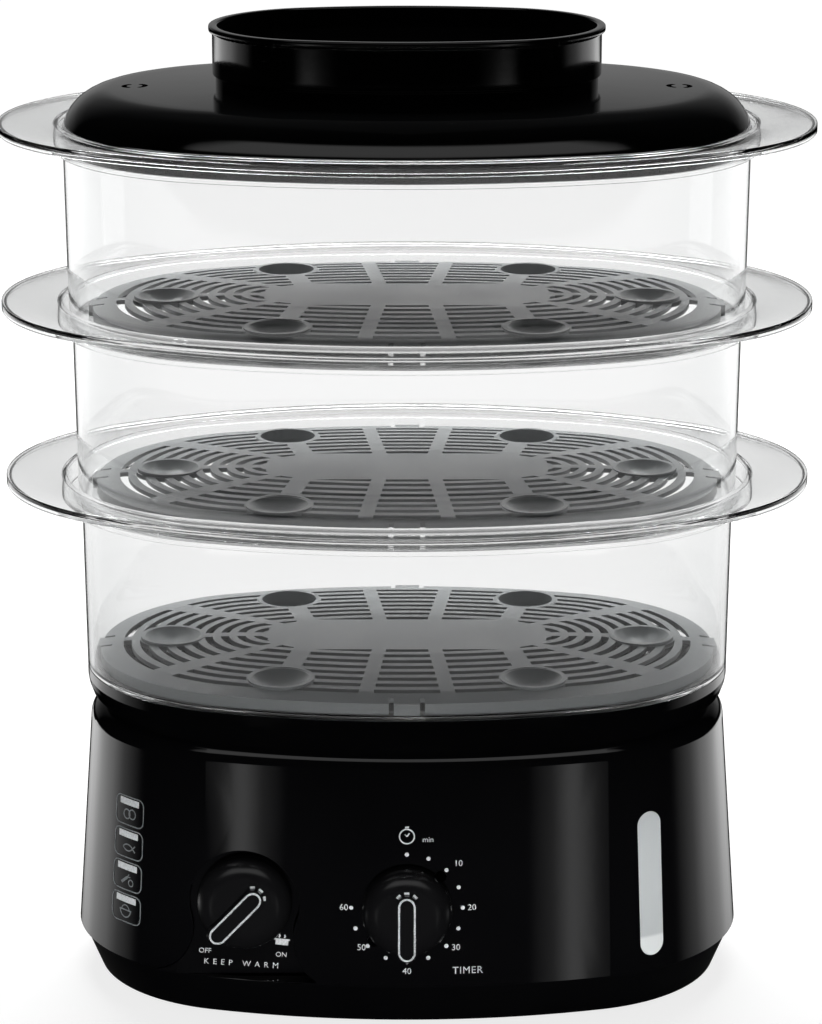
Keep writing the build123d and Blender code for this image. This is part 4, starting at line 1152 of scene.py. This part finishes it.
def studio_sky():
    """White where it is seen, directly or through the bowls; soft boxes where it is mirrored."""
    world = bpy.data.worlds.new("studio")
    bpy.context.scene.world = world
    world.use_nodes = True
    tree = world.node_tree
    tree.nodes.clear()
    rays = add(tree, "ShaderNodeLightPath")
    way = add(tree, "ShaderNodeTexCoord")
    split = add(tree, "ShaderNodeSeparateXYZ", inputs={"Vector": way.outputs["Generated"]})
    across = add(tree, "ShaderNodeMath", {"operation": "ABSOLUTE"}, {0: split.outputs["X"]})
    forwards = add(
        tree, "ShaderNodeMath", {"operation": "MULTIPLY"}, {0: split.outputs["Y"], 1: -1.0}
    )
    turn = add(
        tree,
        "ShaderNodeMath",
        {"operation": "ARCTAN2"},
        {0: across.outputs[0], 1: forwards.outputs[0]},
    )
    share = add(tree, "ShaderNodeMath", {"operation": "DIVIDE"}, {0: turn.outputs[0], 1: math.pi})
    height = add(
        tree,
        "ShaderNodeMapRange",
        inputs={"Value": split.outputs["Z"], "From Min": -1.0, "From Max": 1.0},
    )
    # Patches that glossy surfaces mirror: a share of full brightness by degrees round from the
    # front, times a share by height, which runs from 0 straight down to 1 straight up.
    patches = (
        # Tall boxes behind both ends, low enough that only the base's ends catch them.
        (
            [(80, 0), (84, 0.007), (101, 0.088), (113, 0.2), (131, 0.263), (141, 0.323)]
            + [(152, 0.283), (160, 0.183), (164, 0)],
            [(0.3, 0), (0.36, 1), (0.4045, 1), (0.412, 0)],
        ),
        # Low cards each side of the front: two faint broad streaks on the base.
        (
            [(20, 0), (24, 0.05), (27, 0.18), (28.5, 0.16), (30.5, 0.03), (33, 0)],
            [(0.34, 0), (0.37, 1), (0.405, 1), (0.412, 0)],
        ),
        # Smaller cards just above them, for the same two streaks on the cup.
        (
            [(0, 0.028), (22, 0.03), (30, 0.08), (34, 0.05), (42, 0)],
            [(0.408, 0), (0.415, 1), (0.435, 1), (0.44, 0)],
        ),
        # Pale wall far behind, which the lid's top shows.
        (
            [(135, 0), (160, 1)],
            [(0.46, 0), (0.5, 0.055), (0.57, 0.05), (0.6, 0.034), (0.66, 0.016), (0.8, 0.004)],
        ),
        # High narrow strip in front: thin bright lines along lips and rounded edges.
        (
            [(42, 1), (52, 0)],
            [(0.77, 0), (0.79, 0.14), (0.92, 0.14), (0.94, 0)],
        ),
    )
    total = None
    for round_stops, height_stops in patches:
        round_share = ramp(
            add(tree, "ShaderNodeValToRGB", inputs={"Fac": share.outputs[0]}),
            [(degrees / 180, value) for degrees, value in round_stops],
        )
        height_share = ramp(
            add(tree, "ShaderNodeValToRGB", inputs={"Fac": height.outputs["Result"]}),
            height_stops,
        )
        patch = add(
            tree,
            "ShaderNodeMath",
            {"operation": "MULTIPLY"},
            {0: round_share.outputs["Color"], 1: height_share.outputs["Color"]},
        )
        total = (
            add(tree, "ShaderNodeMath", {"operation": "ADD"}, {0: total, 1: patch.outputs[0]})
            if total
            else patch
        ).outputs[0]
    mirrored = add(tree, "ShaderNodeBackground", inputs={"Color": total, "Strength": FULL_BRIGHT})
    dome = ramp(
        add(tree, "ShaderNodeValToRGB", inputs={"Fac": height.outputs["Result"]}),
        [(0.0, 0.03), (0.5, 0.05), (1.0, 0.16)],
    )
    lit = add(tree, "ShaderNodeBackground", inputs={"Color": dome.outputs["Color"]})
    white = add(tree, "ShaderNodeBackground", inputs={"Color": srgb("#ffffff")})
    shown = add(
        tree,
        "ShaderNodeMath",
        {"operation": "MAXIMUM"},
        {0: rays.outputs["Is Camera Ray"], 1: rays.outputs["Is Transmission Ray"]},
    )
    for_gloss = add(
        tree,
        "ShaderNodeMixShader",
        inputs={
            0: rays.outputs["Is Glossy Ray"],
            1: lit.outputs["Background"],
            2: mirrored.outputs["Background"],
        },
    )
    all_rays = add(
        tree,
        "ShaderNodeMixShader",
        inputs={
            0: shown.outputs[0],
            1: for_gloss.outputs["Shader"],
            2: white.outputs["Background"],
        },
    )
    # The room in front of the steamer is dark, so the clear edges that look back at it turn grey.
    in_front = add(
        tree, "ShaderNodeMath", {"operation": "GREATER_THAN"}, {0: forwards.outputs[0], 1: 0.02}
    )
    above = add(
        tree, "ShaderNodeMath", {"operation": "GREATER_THAN"}, {0: split.outputs["Z"], 1: 0.0}
    )
    room = add(
        tree,
        "ShaderNodeMath",
        {"operation": "MULTIPLY"},
        {0: in_front.outputs[0], 1: above.outputs[0]},
    )
    seen_through = add(
        tree,
        "ShaderNodeMath",
        {"operation": "MULTIPLY"},
        {0: room.outputs[0], 1: rays.outputs["Is Transmission Ray"]},
    )
    dark = add(tree, "ShaderNodeBackground", inputs={"Color": srgb("#2a2a2a")})
    whole = add(
        tree,
        "ShaderNodeMixShader",
        inputs={
            0: seen_through.outputs[0],
            1: all_rays.outputs["Shader"],
            2: dark.outputs["Background"],
        },
    )
    add(tree, "ShaderNodeOutputWorld", inputs={"Surface": whole.outputs["Shader"]})


# Half the floor's side, in metres.
FLOOR_REACH = 6.0


def studio_floor():
    """Plain pale floor: white where nothing shades it, with the steamer's own soft shadow."""
    material, tree = new_material("pale_studio_floor")
    rays = add(tree, "ShaderNodeLightPath")
    paper = add(tree, "ShaderNodeBsdfDiffuse", inputs={"Color": srgb("#8a8a8a")})
    place = add(tree, "ShaderNodeTexCoord")
    away = add(
        tree, "ShaderNodeVectorMath", {"operation": "LENGTH"}, {0: place.outputs["Object"]}
    )
    pale = add(
        tree,
        "ShaderNodeMapRange",
        inputs={"Value": away.outputs["Value"], "From Min": 0.3, "From Max": 1.2, "To Min": 0.8},
    )
    glow = add(
        tree,
        "ShaderNodeEmission",
        inputs={"Color": srgb("#ffffff"), "Strength": pale.outputs["Result"]},
    )
    sheet = add(
        tree, "ShaderNodeAddShader", inputs={0: paper.outputs["BSDF"], 1: glow.outputs["Emission"]}
    )
    shown = add(
        tree,
        "ShaderNodeMath",
        {"operation": "MAXIMUM"},
        {0: rays.outputs["Is Camera Ray"], 1: rays.outputs["Is Transmission Ray"]},
    )
    plain = add(
        tree,
        "ShaderNodeMixShader",
        inputs={0: shown.outputs[0], 1: paper.outputs["BSDF"], 2: sheet.outputs["Shader"]},
    )
    open_air = add(tree, "ShaderNodeBsdfTransparent")
    surface = add(
        tree,
        "ShaderNodeMixShader",
        inputs={
            0: rays.outputs["Is Glossy Ray"],
            1: plain.outputs["Shader"],
            2: open_air.outputs["BSDF"],
        },
    )
    finish_material(tree, surface.outputs["Shader"])
    corners = ((-1, -1), (1, -1), (1, 1), (-1, 1))
    verts = [(x * FLOOR_REACH, y * FLOOR_REACH, 0) for x, y in corners]
    mesh_object("studio_floor", verts, [(0, 1, 2, 3)], material)


def soft_lamp(name, place, aim, size, power, spread=180.0):
    """Soft box that lights the steamer but isn't mirrored in it; spread is in degrees."""
    lamp = bpy.data.lights.new(name, "AREA")
    lamp.spread = math.radians(spread)
    lamp.shape = "RECTANGLE"
    lamp.size, lamp.size_y = size
    lamp.energy = power
    holder = bpy.data.objects.new(name, lamp)
    holder.location = place
    holder.rotation_euler = (Vector(aim) - Vector(place)).to_track_quat("-Z", "Y").to_euler()
    holder.visible_glossy = False
    bpy.context.scene.collection.objects.link(holder)


studio_sky()
studio_floor()
soft_lamp("overhead_box", (0.0, 0.9, 1.4), (0.0, 0.0, 0.25), (1.2, 0.8), 36.0)
soft_lamp("left_box", (-1.3, 0.5, 0.7), (0.0, 0.0, 0.25), (0.6, 1.2), 2.5)
# A narrow low beam reaches the marks and the level window, and stays off the grates above.
soft_lamp("low_front_box", (0.0, -1.5, 0.05), (0.0, 0.0, 0.05), (1.2, 0.12), 0.7, spread=9.0)
soft_lamp("right_box", (1.3, 0.5, 0.7), (0.0, 0.0, 0.25), (0.6, 1.2), 2.5)

# Eye height of someone who sits at the table: the camera looks down by its dip, in radians.
CAMERA_PLACE = (0.0018, -1.68067, 0.68717)
CAMERA_DIP = 0.273
LENS_MM = 133.92

camera_data = bpy.data.cameras.new("camera")
camera_data.sensor_width = 36.0
camera_data.lens = LENS_MM
camera_data.clip_end = 20.0
camera = bpy.data.objects.new("camera", camera_data)
camera.location = CAMERA_PLACE
camera.rotation_euler = (math.radians(90.0) - CAMERA_DIP, 0.0, 0.0)
bpy.context.scene.collection.objects.link(camera)
bpy.context.scene.camera = camera

bpy.context.scene.view_settings.view_transform = "Standard"
